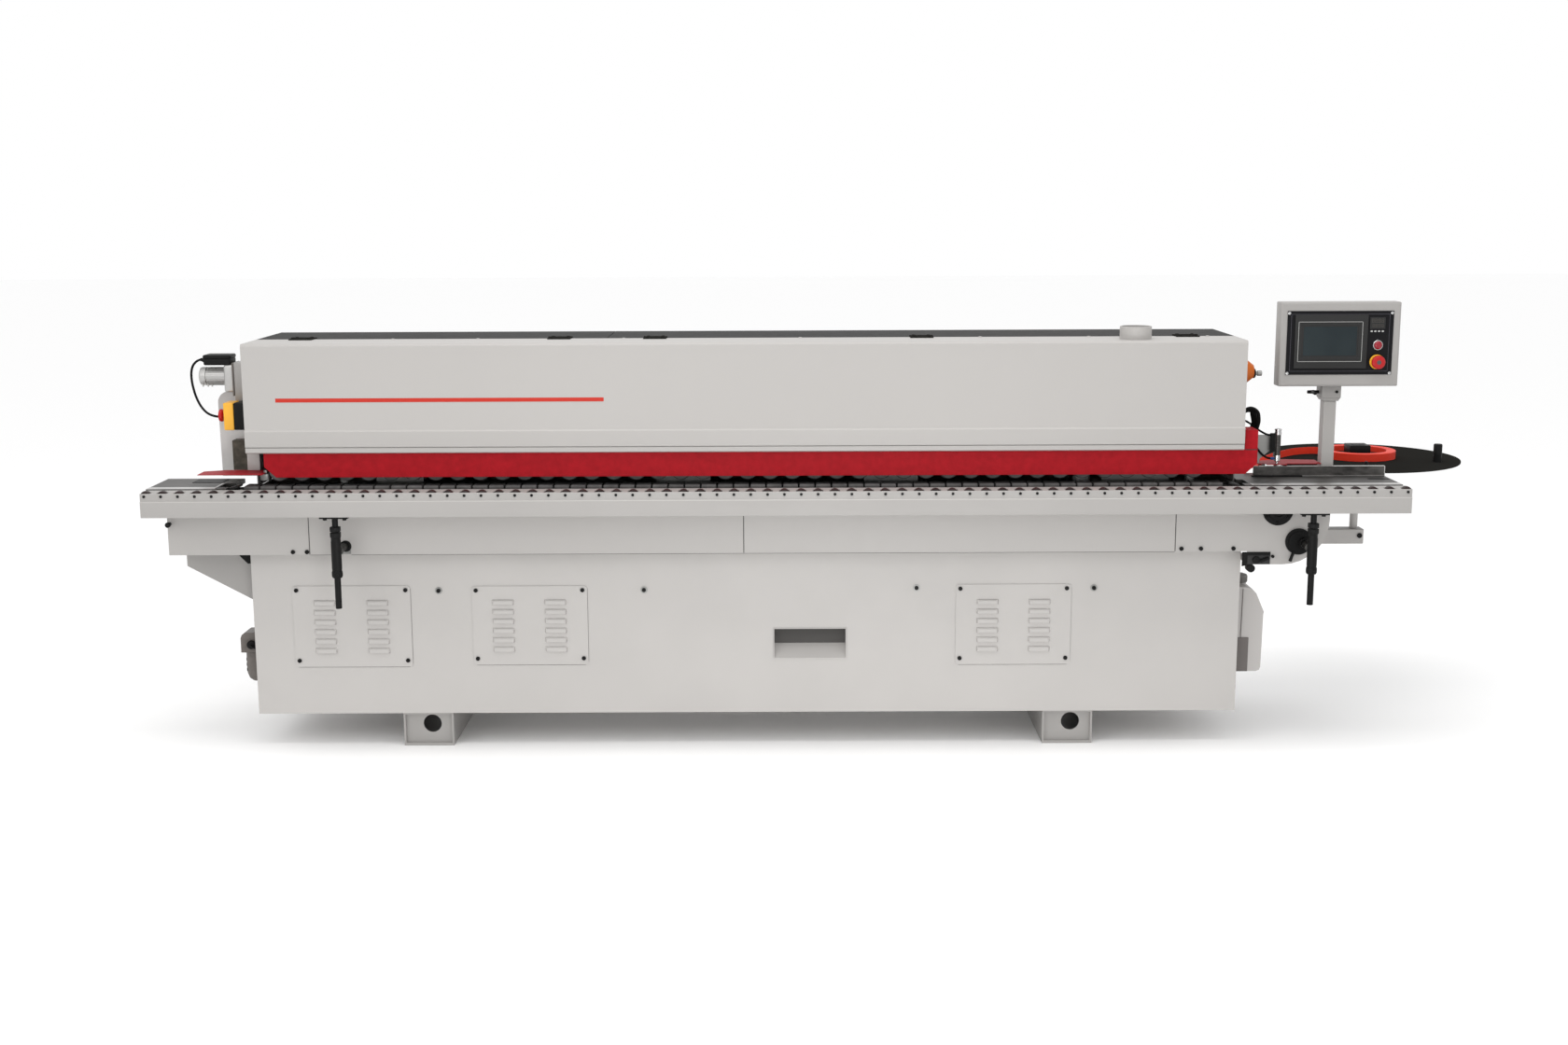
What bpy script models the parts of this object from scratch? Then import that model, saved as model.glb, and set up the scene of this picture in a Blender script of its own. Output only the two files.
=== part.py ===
"""Edge banding machine, free standing, with its feed track, support rail, hood, panel and tape reel. Metres, +Z up, front faces -Y."""

import math

import bpy
import bmesh

for old in list(bpy.data.objects):
    bpy.data.objects.remove(old, do_unlink=True)

# ---- driving dimensions -------------------------------------------------
SHIFT_X, SHIFT_Y = -0.148, -0.3105  # layout to model origin (bottom centre of the bounding box)
GAP = 0.0003
SHEET = 0.003

BASE_X0, BASE_X1, BASE_D = -1.577, 1.350, 0.560
BASE_Z0, BASE_Z1 = 0.1018, 0.6005
FOOT_W, FOOT_H = 0.150, 0.1015
FOOT_LX, FOOT_RX = -1.0705, 0.849

COVER_Y = -0.0605
COVER_Z0, COVER_Z1 = 0.5995, 0.7115
BEAM_X0, BEAM_X1 = -1.785, 1.480
PAD_TOP = 0.800
PAD_Y0, PAD_Y1 = -0.047, 0.013
PAD_PITCH = 0.0476
LOOP_Z, LOOP_R, LOOP_IN = 0.732, 0.068, 0.056
LOOP_X0, LOOP_X1 = -1.590, 1.296

RAIL_X0, RAIL_X1 = -1.836, 1.791
RAIL_Y0, RAIL_Y1 = -0.163, -0.093
RAIL_Z0, RAIL_Z1 = 0.7280, 0.7975
WHEEL_N, WHEEL_R, WHEEL_Z = 76, 0.0148, 0.7890
STRUT_Y, TUBE_Z, TUBE_R = -0.140, 0.625, 0.0100
STRUT_LX, STRUT_RX = -1.2880, 1.5195
TUBE_LX, TUBE_RX = STRUT_LX + 0.006, STRUT_RX - 0.006

HOOD_X0, HOOD_X1 = -1.5575, 1.3330
HOOD_Y, HOOD_BACK = -0.055, 0.400
HOOD_TOP, HOOD_FOLD, HOOD_LIP, HOOD_BOT = 1.2140, 0.9660, 0.9160, 0.8965
LID_Y, LID_SPLIT = 0.1160, -0.5210
DECK_Z0, DECK_Z1 = 0.7650, 0.7882

GUARD_X0, GUARD_X1 = -1.509, 1.3745
GUARD_Y, GUARD_Z0, GUARD_Z1 = -0.0465, 0.8260, 0.8985

PANEL_X, PANEL_Y, PANEL_Z = 1.627, 0.078, 1.193
PANEL_W, PANEL_D, PANEL_H = 0.350, 0.055, 0.246
COL_X, COL_Y, COL_W = 1.625, 0.131, 0.038

REEL_X, REEL_Y, REEL_Z, REEL_R = 1.826, 0.472, 0.800, 0.312
TAPE_R, TAPE_IN, TAPE_H = 0.117, 0.089, 0.023

MODEL = bpy.data.collections.new("edge_banding_machine")
CUTTERS = bpy.data.collections.new("cutters")
bpy.context.scene.collection.children.link(MODEL)
bpy.context.scene.collection.children.link(CUTTERS)
CUTTERS.hide_render = True

COLOURS = {
    "shell": ((0.66, 0.64, 0.61), 0.0, 0.45),
    "dark": ((0.11, 0.11, 0.11), 0.0, 0.5),
    "red": ((0.45, 0.02, 0.02), 0.0, 0.4),
    "rubber": ((0.02, 0.02, 0.02), 0.0, 0.7),
    "black": ((0.03, 0.03, 0.03), 0.0, 0.4),
    "steel": ((0.50, 0.50, 0.49), 1.0, 0.35),
    "zinc": ((0.45, 0.45, 0.44), 1.0, 0.45),
    "alu": ((0.70, 0.70, 0.70), 1.0, 0.35),
    "tape": ((0.78, 0.09, 0.04), 0.0, 0.4),
    "screen": ((0.02, 0.03, 0.03), 0.0, 0.15),
    "tank": ((0.80, 0.80, 0.76), 0.0, 0.4),
    "felt": ((0.75, 0.72, 0.62), 0.0, 0.9),
    "yellow": ((0.80, 0.45, 0.02), 0.0, 0.4),
}


def paint(obj, kind):
    mat = bpy.data.materials.new(obj.name + "_mat")
    mat.use_nodes = True
    bsdf = mat.node_tree.nodes["Principled BSDF"]
    colour, metal, rough = COLOURS[kind]
    bsdf.inputs["Base Color"].default_value = (*colour, 1)
    bsdf.inputs["Metallic"].default_value = metal
    bsdf.inputs["Roughness"].default_value = rough
    obj.data.materials.append(mat)


def place(obj, where, kind=None):
    """A node when it has a kind, a cutter when it hasn't."""
    obj.location = (where[0] + SHIFT_X, where[1] + SHIFT_Y, where[2])
    (MODEL if kind else CUTTERS).objects.link(obj)
    if kind:
        paint(obj, kind)
    else:
        obj.hide_render = True
        obj.display_type = "WIRE"
    return obj


def mesh_object(name, bm):
    bmesh.ops.recalc_face_normals(bm, faces=bm.faces)
    mesh = bpy.data.meshes.new(name)
    bm.to_mesh(mesh)
    bm.free()
    return bpy.data.objects.new(name, mesh)


def box(name, x0, x1, y0, y1, z0, z1, kind=None, bevel=0.0, segments=2):
    bm = bmesh.new()
    bmesh.ops.create_cube(bm, size=1)
    bmesh.ops.scale(bm, vec=(x1 - x0, y1 - y0, z1 - z0), verts=bm.verts)
    obj = place(mesh_object(name, bm), ((x0 + x1) / 2, (y0 + y1) / 2, (z0 + z1) / 2), kind)
    if bevel:
        mod = obj.modifiers.new("round", "BEVEL")
        mod.width, mod.segments, mod.limit_method = bevel, segments, "ANGLE"
    return obj


def cylinder(name, centre, radius, length, axis="Z", kind=None, segments=24, radius2=None):
    bm = bmesh.new()
    bmesh.ops.create_cone(
        bm, cap_ends=True, segments=segments, radius1=radius,
        radius2=radius if radius2 is None else radius2, depth=length,
    )
    obj = place(mesh_object(name, bm), centre, kind)
    obj.rotation_euler = {"X": (0, math.pi / 2, 0), "Y": (-math.pi / 2, 0, 0), "Z": (0, 0, 0)}[axis]
    return obj


def prism(name, outlines, axis, start, end, kind=None):
    """Flat outlines extruded along X (points are Y, Z) or Y (points are X, Z) or Z (points are X, Y)."""
    bm = bmesh.new()
    loops = []
    for outline in outlines if isinstance(outlines[0][0], tuple) else [outlines]:
        loops.append(outline)
    curve = bpy.data.curves.new(name, "CURVE")
    curve.dimensions, curve.fill_mode = "2D", "BOTH"
    bm.free()
    for outline in loops:
        spline = curve.splines.new("POLY")
        spline.points.add(len(outline) - 1)
        for point, (u, v) in zip(spline.points, outline):
            point.co = (u, v, 0, 1)
        spline.use_cyclic_u = True
    curve.extrude = (end - start) / 2
    middle = (start + end) / 2
    obj = bpy.data.objects.new(name, curve)
    if kind is None:
        # a Boolean takes a mesh, so a cutter is made a closed mesh here
        raise ValueError("cutters are boxes, cylinders or slabs")
    where = {"X": (middle, 0, 0), "Y": (0, middle, 0), "Z": (0, 0, middle)}[axis]
    place(obj, where, kind)
    obj.rotation_euler = {"X": (math.pi / 2, 0, math.pi / 2), "Y": (math.pi / 2, 0, 0), "Z": (0, 0, 0)}[axis]
    return obj


def slab(name, outline, axis, start, end, kind=None):
    """A closed mesh prism of one convex or simple outline."""
    bm = bmesh.new()
    put = {
        "X": lambda u, v, w: (w, u, v),
        "Y": lambda u, v, w: (u, w, v),
        "Z": lambda u, v, w: (u, v, w),
    }[axis]
    low = [bm.verts.new(put(u, v, start)) for u, v in outline]
    high = [bm.verts.new(put(u, v, end)) for u, v in outline]
    bm.faces.new(low)
    bm.faces.new(list(reversed(high)))
    n = len(outline)
    for i in range(n):
        bm.faces.new((low[i], high[i], high[(i + 1) % n], low[(i + 1) % n]))
    return place(mesh_object(name, bm), (0, 0, 0), kind)


def boolean(obj, other, operation="DIFFERENCE"):
    mod = obj.modifiers.new(operation.lower(), "BOOLEAN")
    mod.operation, mod.solver, mod.object = operation, "EXACT", other
    return obj


def cut(obj, *others):
    for other in others:
        boolean(obj, other)
    return obj


def join(obj, *others):
    for other in others:
        boolean(obj, other, "UNION")
    return obj


def arc(cx, cz, r, a0, a1, n):
    return [
        (cx + r * math.cos(math.radians(a0 + (a1 - a0) * i / n)), cz + r * math.sin(math.radians(a0 + (a1 - a0) * i / n)))
        for i in range(n + 1)
    ]


# ---- base cabinet --------------------------------------------------------
VENTS = (("left", -1.459, -1.109, 0.2465, 0.4930), ("middle", -0.927, -0.5845, 0.2510, 0.4910), ("right", 0.5095, 0.8515, 0.2470, 0.4910))
base = box("base_cabinet", BASE_X0, BASE_X1, 0, BASE_D, BASE_Z0, BASE_Z1, "shell")
cut(
    base,
    box("cut_base_inside", BASE_X0 + SHEET, BASE_X1 - SHEET, SHEET, BASE_D - SHEET, BASE_Z0 + SHEET, BASE_Z1 - SHEET),
    box("cut_base_rear", -1.42, 1.20, BASE_D - 0.02, BASE_D + 0.02, 0.16, 0.55),
    box("cut_pocket", -0.0335, 0.1855, -0.02, 0.02, 0.2645, 0.3605),
)
for tag, x0, x1, z0, z1 in VENTS:
    cut(base, box("cut_vent_" + tag, x0 + 0.05, x1 - 0.05, -0.02, 0.02, z0 + 0.04, z1 - 0.05))
box("rear_panel", -1.46, 1.24, BASE_D + GAP, BASE_D + GAP + SHEET, 0.125, 0.585, "shell")

for tag, x0, x1, z0, z1 in VENTS:
    plate = box("vent_panel_" + tag, x0, x1, -GAP - 0.002, -GAP, z0, z1, "shell")
    width = x1 - x0
    for col in (0.243, 0.757):
        cx = x0 + col * width
        for row in range(6):
            top = z1 - 0.043 - row * 0.0290
            louvre = slab(
                f"louvre_{tag}_{col}_{row}",
                [(-0.0012, top), (-0.0012, top - 0.022), (-0.0085, top - 0.019), (-0.0085, top - 0.017)],
                "X", cx - 0.034, cx + 0.034,
            )
            join(plate, louvre)

pocket = box("pocket_handle", -0.0330, 0.1850, -0.0015, 0.040, 0.2650, 0.3600, "shell")
cut(pocket, slab("cut_dish", [(-0.02, 0.255), (-0.002, 0.2675), (0.037, 0.305), (0.037, 0.3575), (-0.02, 0.3575)], "X", -0.0305, 0.1825))

for tag, x in (("left", FOOT_LX), ("right", FOOT_RX)):
    foot = box("foot_channel_" + tag, x - FOOT_W / 2, x + FOOT_W / 2, 0.004, BASE_D - 0.004, 0, FOOT_H, "shell")
    cut(
        foot,
        box("cut_foot_front_" + tag, x - FOOT_W / 2 + 0.006, x + FOOT_W / 2 - 0.006, -0.02, 0.014, 0.008, 0.096),
        box("cut_foot_rear_" + tag, x - FOOT_W / 2 + 0.006, x + FOOT_W / 2 - 0.006, 0.020, 0.7, 0.008, 0.096),
        cylinder("cut_foot_hole_" + tag, (x + 0.010, 0.02, 0.066), 0.0275, 0.05, "Y", None, 20),
    )

box("feed_motor", -1.47, -1.25, 0.20, 0.36, BASE_Z0 + SHEET + GAP, 0.30, "dark")

# ---- track ----------------------------------------------------------------
beam = box("track_beam", BEAM_X0, BEAM_X1, COVER_Y + SHEET + GAP, 0.0300, BASE_Z1 + GAP, 0.7850, "zinc")
tube_cut_l = cylinder("cut_tube_left", (TUBE_LX, 0.15, TUBE_Z), TUBE_R + 0.0015, 0.60, "Y", None, 16)
tube_cut_r = cylinder("cut_tube_right", (TUBE_RX, 0.15, TUBE_Z), TUBE_R + 0.0015, 0.60, "Y", None, 16)
cut(
    beam,
    box("cut_beam_inside", BEAM_X0 - 0.01, BEAM_X1 + 0.01, COVER_Y + SHEET + GAP + 0.004, 0.0260, BASE_Z1 + 0.005, 0.9),
    tube_cut_l,
)

top_teeth = []
teeth = int((LOOP_X1 - LOOP_X0) / PAD_PITCH)
start = (LOOP_X0 + LOOP_X1) / 2 - teeth * PAD_PITCH / 2
for i in range(teeth):
    a = start + i * PAD_PITCH
    top_teeth += [(a + 0.0018, PAD_TOP), (a + PAD_PITCH - 0.0018, PAD_TOP), (a + PAD_PITCH - 0.0018, PAD_TOP - 0.006), (a + PAD_PITCH + 0.0018, PAD_TOP - 0.006)]
top_teeth = top_teeth[:-2]
outer = top_teeth + arc(LOOP_X1, LOOP_Z, LOOP_R, 88, -88, 12) + arc(LOOP_X0, LOOP_Z, LOOP_R, 268, 92, 12)
inner = arc(LOOP_X1, LOOP_Z, LOOP_IN, 90, -90, 12) + arc(LOOP_X0, LOOP_Z, LOOP_IN, 270, 90, 12)
prism("chain_pads", [outer, inner], "Y", PAD_Y0, PAD_Y1, "rubber")


def sprocket(name, x):
    teeth_n = 16
    points = []
    for i in range(teeth_n):
        for part, radius in ((0.0, 0.0545), (0.30, 0.0545), (0.5, 0.047), (0.80, 0.047)):
            a = 2 * math.pi * (i + part) / teeth_n
            points.append((radius * math.cos(a), radius * math.sin(a)))
    obj = slab(name, points, "Y", -0.012, 0.012, "steel")
    obj.location = (x + SHIFT_X, -0.017 + SHIFT_Y, LOOP_Z)
    shaft = cylinder("shaft_" + name, (x, -0.0135, LOOP_Z), 0.0125, 0.0770, "Y", None, 20)
    return join(obj, shaft)


sprocket("drive_sprocket", LOOP_X0)
sprocket("idler_sprocket", LOOP_X1)

cover = box("beam_cover_left", -1.796, -1.3860, COVER_Y, 0.0330, COVER_Z0, COVER_Z1, "shell")
cut(cover, box("cut_cover_left", -1.793, -1.30, COVER_Y + SHEET, 0.08, COVER_Z0 - 0.05, COVER_Z1 + 0.05))
hole_panel = box("beam_panel_left", -1.3845, -0.1185, COVER_Y, COVER_Y + SHEET, COVER_Z0, COVER_Z1, "shell")
cut(
    hole_panel,
    cylinder("cut_hole_panel", (TUBE_LX + 0.002, COVER_Y, TUBE_Z), 0.0150, 0.03, "Y", None, 20),
    box("cut_hole_slot", TUBE_LX - 0.0130, TUBE_LX + 0.0170, COVER_Y - 0.01, COVER_Y + 0.02, COVER_Z0 - 0.01, TUBE_Z),
)
box("beam_panel_right", -0.1170, 1.1410, COVER_Y, COVER_Y + SHEET, COVER_Z0, COVER_Z1, "shell")


def cover_outline(inset):
    r = 0.133
    cx, cz = 1.590 - r, 0.560 + r
    return (
        [(1.1425 + inset, COVER_Z0 + inset), (1.3530 + inset, COVER_Z0 + inset), (1.3530 + inset, 0.560 + inset)]
        + arc(cx, cz, r - inset, 270, 360, 8)
        + [(1.590 - inset, COVER_Z1 - inset), (1.1425 + inset, COVER_Z1 - inset)]
    )


right = slab("beam_cover_right", cover_outline(0.0), "Y", COVER_Y, 0.0340, "shell")
cut(
    right,
    slab("cut_cover_right", cover_outline(0.003), "Y", COVER_Y + SHEET, 0.10),
    box("cut_cover_right_top", 1.10, 1.5865, COVER_Y + SHEET, 0.10, COVER_Z1 - 0.02, COVER_Z1 + 0.02),
    box("cut_cover_right_low", 1.10, 1.3560, COVER_Y + SHEET, 0.10, COVER_Z0 - 0.02, COVER_Z1 + 0.02),
    tube_cut_r,
)
slab("gusset_bracket_left", [(-1.780, BASE_Z1), (-1.780, 0.5460), (-1.5775, 0.4365), (-1.5775, BASE_Z1)], "Y", 0.045, 0.120, "shell")

out_table = box("outfeed_table", -1.842, -1.612, -0.0890, 0.110, 0.7862, 0.7995, "zinc")
cut(out_table, box("cut_outfeed_table", -1.642, -1.60, PAD_Y0 - 0.0035, PAD_Y1 + 0.0035, 0.78, 0.81))
table = box("infeed_table", 1.332, 1.787, -0.0900, 0.144, 0.7862, 0.7995, "zinc")
cut(table, box("cut_infeed_table", 1.32, 1.350, PAD_Y0 - 0.0035, PAD_Y1 + 0.0035, 0.78, 0.81))
join(table, box("add_infeed_fence", 1.400, 1.790, 0.085, 0.097, 0.7900, 0.8275))
slab("outfeed_guard_plate", [(-1.700, -0.060), (-1.512, -0.060), (-1.512, 0.030), (-1.640, 0.030), (-1.700, 0.005)], "Z", 0.8352, 0.8372, "red")

# ---- deck and working units ------------------------------------------------
deck = slab(
    "machine_deck",
    [
        (0.0335, DECK_Z1), (0.0335, DECK_Z0), (0.070, DECK_Z0), (0.070, BASE_Z1 + GAP), (0.076, BASE_Z1 + GAP), (0.076, DECK_Z0),
        (0.354, DECK_Z0), (0.354, BASE_Z1 + GAP), (0.360, BASE_Z1 + GAP), (0.360, DECK_Z0), (HOOD_BACK, DECK_Z0), (HOOD_BACK, DECK_Z1),
    ],
    "X", -1.550, 1.3295, "zinc",
)
cut(deck, cylinder("cut_deck_tube", (TUBE_LX, 0.20, TUBE_Z), TUBE_R + 0.0015, 0.34, "Y", None, 16))

pot = box("glue_pot", 0.95, 1.15, 0.10, 0.26, DECK_Z1 + GAP, 0.96, "alu")
cut(pot, box("cut_pot", 0.965, 1.135, 0.115, 0.245, 0.82, 1.2))
cylinder("glue_roller", (0.88, 0.075, 0.835), 0.030, 0.092, "Z", "steel", 24)
cylinder("end_trim_saw", (0.32, 0.080, 0.880), 0.060, 0.004, "Y", "steel", 32)
cylinder("trim_cutter", (-0.30, 0.080, 0.862), 0.034, 0.024, "Y", "steel", 20)
cylinder("buffing_wheel", (-1.15, 0.080, 0.875), 0.070, 0.030, "Y", "felt", 32)
unit = box("end_trim_unit", 0.24, 0.40, 0.10, 0.28, DECK_Z1 + GAP, 1.02, "alu")
join(unit, cylinder("add_saw_shaft", (0.32, 0.095, 0.880), 0.012, 0.024, "Y", None, 16))
unit = box("trim_unit", -0.38, -0.22, 0.11, 0.28, DECK_Z1 + GAP, 1.02, "alu")
join(unit, cylinder("add_cutter_shaft", (-0.30, 0.103, 0.862), 0.012, 0.018, "Y", None, 16))
unit = box("buffing_unit", -1.22, -1.08, 0.115, 0.28, DECK_Z1 + GAP, 1.00, "alu")
join(unit, cylinder("add_buff_shaft", (-1.15, 0.1065, 0.875), 0.012, 0.021, "Y", None, 16))

# ---- pressure beam ---------------------------------------------------------
bar = box("pressure_beam", -1.500, 1.322, -0.040, 0.020, 0.862, 0.940, "zinc")
cut(bar, box("cut_pressure_beam", -1.494, 1.316, -0.034, 0.014, 0.868, 1.0))
wheel_pitch, wheel_r, wheel_z = 0.065, 0.030, 0.842
count = int(2.76 / wheel_pitch)
low = []
first = -1.470
for i in range(count):
    cx = first + i * wheel_pitch
    low += arc(cx, wheel_z, wheel_r, 200, 340, 7)
low_x0, low_x1 = low[0][0], low[-1][0]
prism("pressure_wheels", [low + [(low_x1, 0.8612), (low_x0, 0.8612)]], "Y", -0.034, -0.004, "rubber")
guard = slab(
    "pressure_guard",
    [(GUARD_X0, GUARD_Z1), (GUARD_X0, 0.8570), (GUARD_X0 + 0.034, GUARD_Z0), (GUARD_X1 - 0.034, GUARD_Z0), (GUARD_X1, 0.8570), (GUARD_X1, GUARD_Z1)],
    "Y", GUARD_Y, GUARD_Y + SHEET, "red",
)
join(
    guard,
    box("add_guard_block", 1.3370, GUARD_X1, GUARD_Y + 0.001, 0.030, 0.862, 0.954),
    box("add_guard_shelf", GUARD_X0 + 0.04, 1.300, GUARD_Y + 0.001, -0.0405, 0.880, 0.883),
)
for tag, x in (("left", -1.30), ("right", 1.20)):
    cylinder("lift_column_" + tag, (x, 0.050, 0.969), 0.014, 0.361, "Z", "steel", 20)

# ---- hood --------------------------------------------------------------------
R, T = 0.012, 0.0025
outside = [
    (HOOD_Y + 0.006, HOOD_BOT), (HOOD_Y - 0.0045, HOOD_LIP), (HOOD_Y - 0.0045, HOOD_FOLD - 0.004), (HOOD_Y, HOOD_FOLD),
] + list(arc(HOOD_Y + R, HOOD_TOP - R, R, 180, 90, 6)) + [(LID_Y - 0.0015, HOOD_TOP)]
inside = [
    (LID_Y - 0.0015, HOOD_TOP - T),
] + list(arc(HOOD_Y + R, HOOD_TOP - R, R - T, 90, 180, 6)) + [
    (HOOD_Y + T, HOOD_FOLD - 0.001), (HOOD_Y - 0.002, HOOD_FOLD - 0.005), (HOOD_Y - 0.002, HOOD_LIP + 0.001), (HOOD_Y + 0.008, HOOD_BOT + 0.001),
]
PORT_X, PORT_Y, PORT_R = 1.025, 0.030, 0.046
front = slab("hood_front_cover", outside + inside, "X", HOOD_X0, HOOD_X1, "shell")
cut(front, cylinder("cut_port", (PORT_X, PORT_Y, HOOD_TOP), PORT_R - 0.004, 0.05, "Z", None, 32))
port = cylinder("dust_port", (PORT_X, PORT_Y, HOOD_TOP + GAP + 0.0180), PORT_R, 0.0360, "Z", "shell", 40)
cut(port, cylinder("cut_port_bore", (PORT_X, PORT_Y, HOOD_TOP), PORT_R - 0.004, 0.20, "Z", None, 40))


def lid(name, x0, x1):
    r = 0.010
    out = [(LID_Y, HOOD_TOP)] + arc(HOOD_BACK + 0.003 - r, HOOD_TOP - r, r, 90, 0, 5) + [(HOOD_BACK + 0.003, 0.960), (HOOD_BACK + 0.003 - T, 0.960)]
    back = arc(HOOD_BACK + 0.003 - r, HOOD_TOP - r, r - T, 0, 90, 5) + [(LID_Y, HOOD_TOP - T)]
    slab(name, out + back, "X", x0, x1, "dark")


lid("hood_lid_left", HOOD_X0, LID_SPLIT - 0.001)
lid("hood_lid_right", LID_SPLIT + 0.001, HOOD_X1)
END = [(-0.0395, 0.9050), (0.0335, 0.9050), (0.0335, DECK_Z1 + GAP), (0.3950, DECK_Z1 + GAP), (0.3950, HOOD_TOP - T - 0.0005), (-0.0515 + 0.010, HOOD_TOP - T - 0.0005), (-0.0520, HOOD_TOP - T - 0.0105), (-0.0520, 0.9750), (-0.0395, 0.9750)]
end_left = slab("hood_end_left", END, "X", HOOD_X0 + 0.0035, HOOD_X0 + 0.0065, "shell")
side = [(-1.6930, 0.8000), (HOOD_X0 + 0.0050, 0.8000), (HOOD_X0 + 0.0050, 1.0560)] + arc(-1.6955 + 0.034, 1.0560 - 0.034, 0.034, 90, 180, 6)
join(end_left, slab("add_end_guard", side, "Y", 0.1600, 0.3000))
slab("hood_end_right", END, "X", HOOD_X1 - 0.0065, HOOD_X1 - 0.0035, "shell")
box("hood_rear_panel", HOOD_X0 + 0.0070, HOOD_X1 - 0.0070, 0.3920, 0.3950, DECK_Z1 + GAP, 1.010, "shell")

# ---- roller rail ----------------------------------------------------------
w, lip, back = 0.0025, 0.0080, 0.0360
rail = [
    (RAIL_Y0, RAIL_Z1), (RAIL_Y0, 0.7745), (RAIL_Y0 + 0.002, 0.7725), (RAIL_Y0 + 0.002, RAIL_Z0), (RAIL_Y1, RAIL_Z0), (RAIL_Y1, RAIL_Z1),
    (RAIL_Y1 - back, RAIL_Z1), (RAIL_Y1 - back, RAIL_Z1 - w), (RAIL_Y1 - w, RAIL_Z1 - w), (RAIL_Y1 - w, RAIL_Z0 + w),
    (RAIL_Y0 + 0.002 + w, RAIL_Z0 + w), (RAIL_Y0 + 0.002 + w, 0.7715), (RAIL_Y0 + w, 0.7735), (RAIL_Y0 + w, RAIL_Z1 - w), (RAIL_Y0 + lip, RAIL_Z1 - w), (RAIL_Y0 + lip, RAIL_Z1),
]
slab("roller_rail", rail, "X", RAIL_X0, RAIL_X1, "shell")
pitch = (RAIL_X1 - RAIL_X0 - 0.024) / (WHEEL_N - 1)
bumps = []
for i in range(WHEEL_N):
    cx = RAIL_X0 + 0.012 + i * pitch
    bumps += arc(cx, WHEEL_Z, WHEEL_R, 200, -20, 6)
bumps = bumps + [(bumps[-1][0], 0.7780), (bumps[0][0], 0.7780)]
prism("roller_wheels", [bumps], "Y", -0.1530, -0.1320, "black")


def strut(tag, x, back):
    y = STRUT_Y
    body = box("strut_" + tag, x - 0.041, x + 0.041, y - 0.018, y + 0.018, RAIL_Z0 - 0.0055, RAIL_Z0 - GAP, "black")
    join(
        body,
        cylinder("add_rod_" + tag, (x, y, 0.7050), 0.0088, 0.044, "Z", None, 16),
        cylinder("add_hex_" + tag, (x, y, 0.6815), 0.0165, 0.031, "Z", None, 6),
        cylinder("add_tube_" + tag, (x, y, 0.6175), 0.0145, 0.115, "Z", None, 20),
        cylinder("add_collar_" + tag, (x, y, 0.5590), 0.0155, 0.021, "Z", None, 20),
        cylinder("add_lower_" + tag, (x, y, 0.5070), 0.0092, 0.100, "Z", None, 16),
        cylinder("add_tube_back_" + tag, (TUBE_LX if x < 0 else TUBE_RX, (y + back) / 2, TUBE_Z), TUBE_R, back - y, "Y", None, 20),
    )
    return body


strut("left", STRUT_LX, 0.300)
strut("right", STRUT_RX, 0.300)

# ---- control panel ---------------------------------------------------------
column = box("panel_column", COL_X - COL_W / 2, COL_X + COL_W / 2, COL_Y - COL_W / 2, COL_Y + COL_W / 2, 0.8000, 1.0200, "shell", 0.003)
lever = cylinder("clamp_lever", (COL_X - 0.0410, COL_Y, 1.0450), 0.0050, 0.020, "X", "black", 12)
join(lever, cylinder("add_lever_arm", (COL_X - 0.052, COL_Y - 0.020, 1.0450), 0.0055, 0.052, "Y", None, 12))

panel = box("panel_box", PANEL_X - PANEL_W / 2, PANEL_X + PANEL_W / 2, PANEL_Y - PANEL_D / 2, PANEL_Y + PANEL_D / 2, PANEL_Z - PANEL_H / 2, PANEL_Z + PANEL_H / 2, "shell", 0.004)
join(
    panel,
    cylinder("add_swivel_sleeve", (COL_X, COL_Y, 1.0480), 0.030, 0.0550, "Z", None, 28),
    box("add_panel_back", COL_X - 0.050, COL_X + 0.050, PANEL_Y + 0.020, COL_Y + 0.030, 1.0680, 1.0900),
)
FACE = PANEL_Y - PANEL_D / 2
plate = box("panel_plate", 1.4705, 1.7805, FACE - GAP - 0.002, FACE - GAP, PANEL_Z - 0.0885, PANEL_Z + 0.0975, "black")
join(plate, cylinder("add_estop_ring", (1.7355, FACE - 0.0060, 1.1420), 0.0215, 0.0090, "Y", None, 28))
cut(plate, cylinder("cut_estop_ring", (1.7355, FACE - 0.0105, 1.1420), 0.0125, 0.0100, "Y", None, 20))
box("touch_screen", 1.4920, 1.7060, FACE - 0.0080, FACE - 0.0026, 1.2015 - 0.0790, 1.2015 + 0.0790, "screen", 0.002)
button = cylinder("panel_estop_button", (1.7355, FACE - 0.0224, 1.1420), 0.0200, 0.0120, "Y", "red", 28)
join(button, cylinder("add_stem", (1.7355, FACE - 0.0140, 1.1420), 0.0110, 0.0060, "Y", None, 20))

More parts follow.
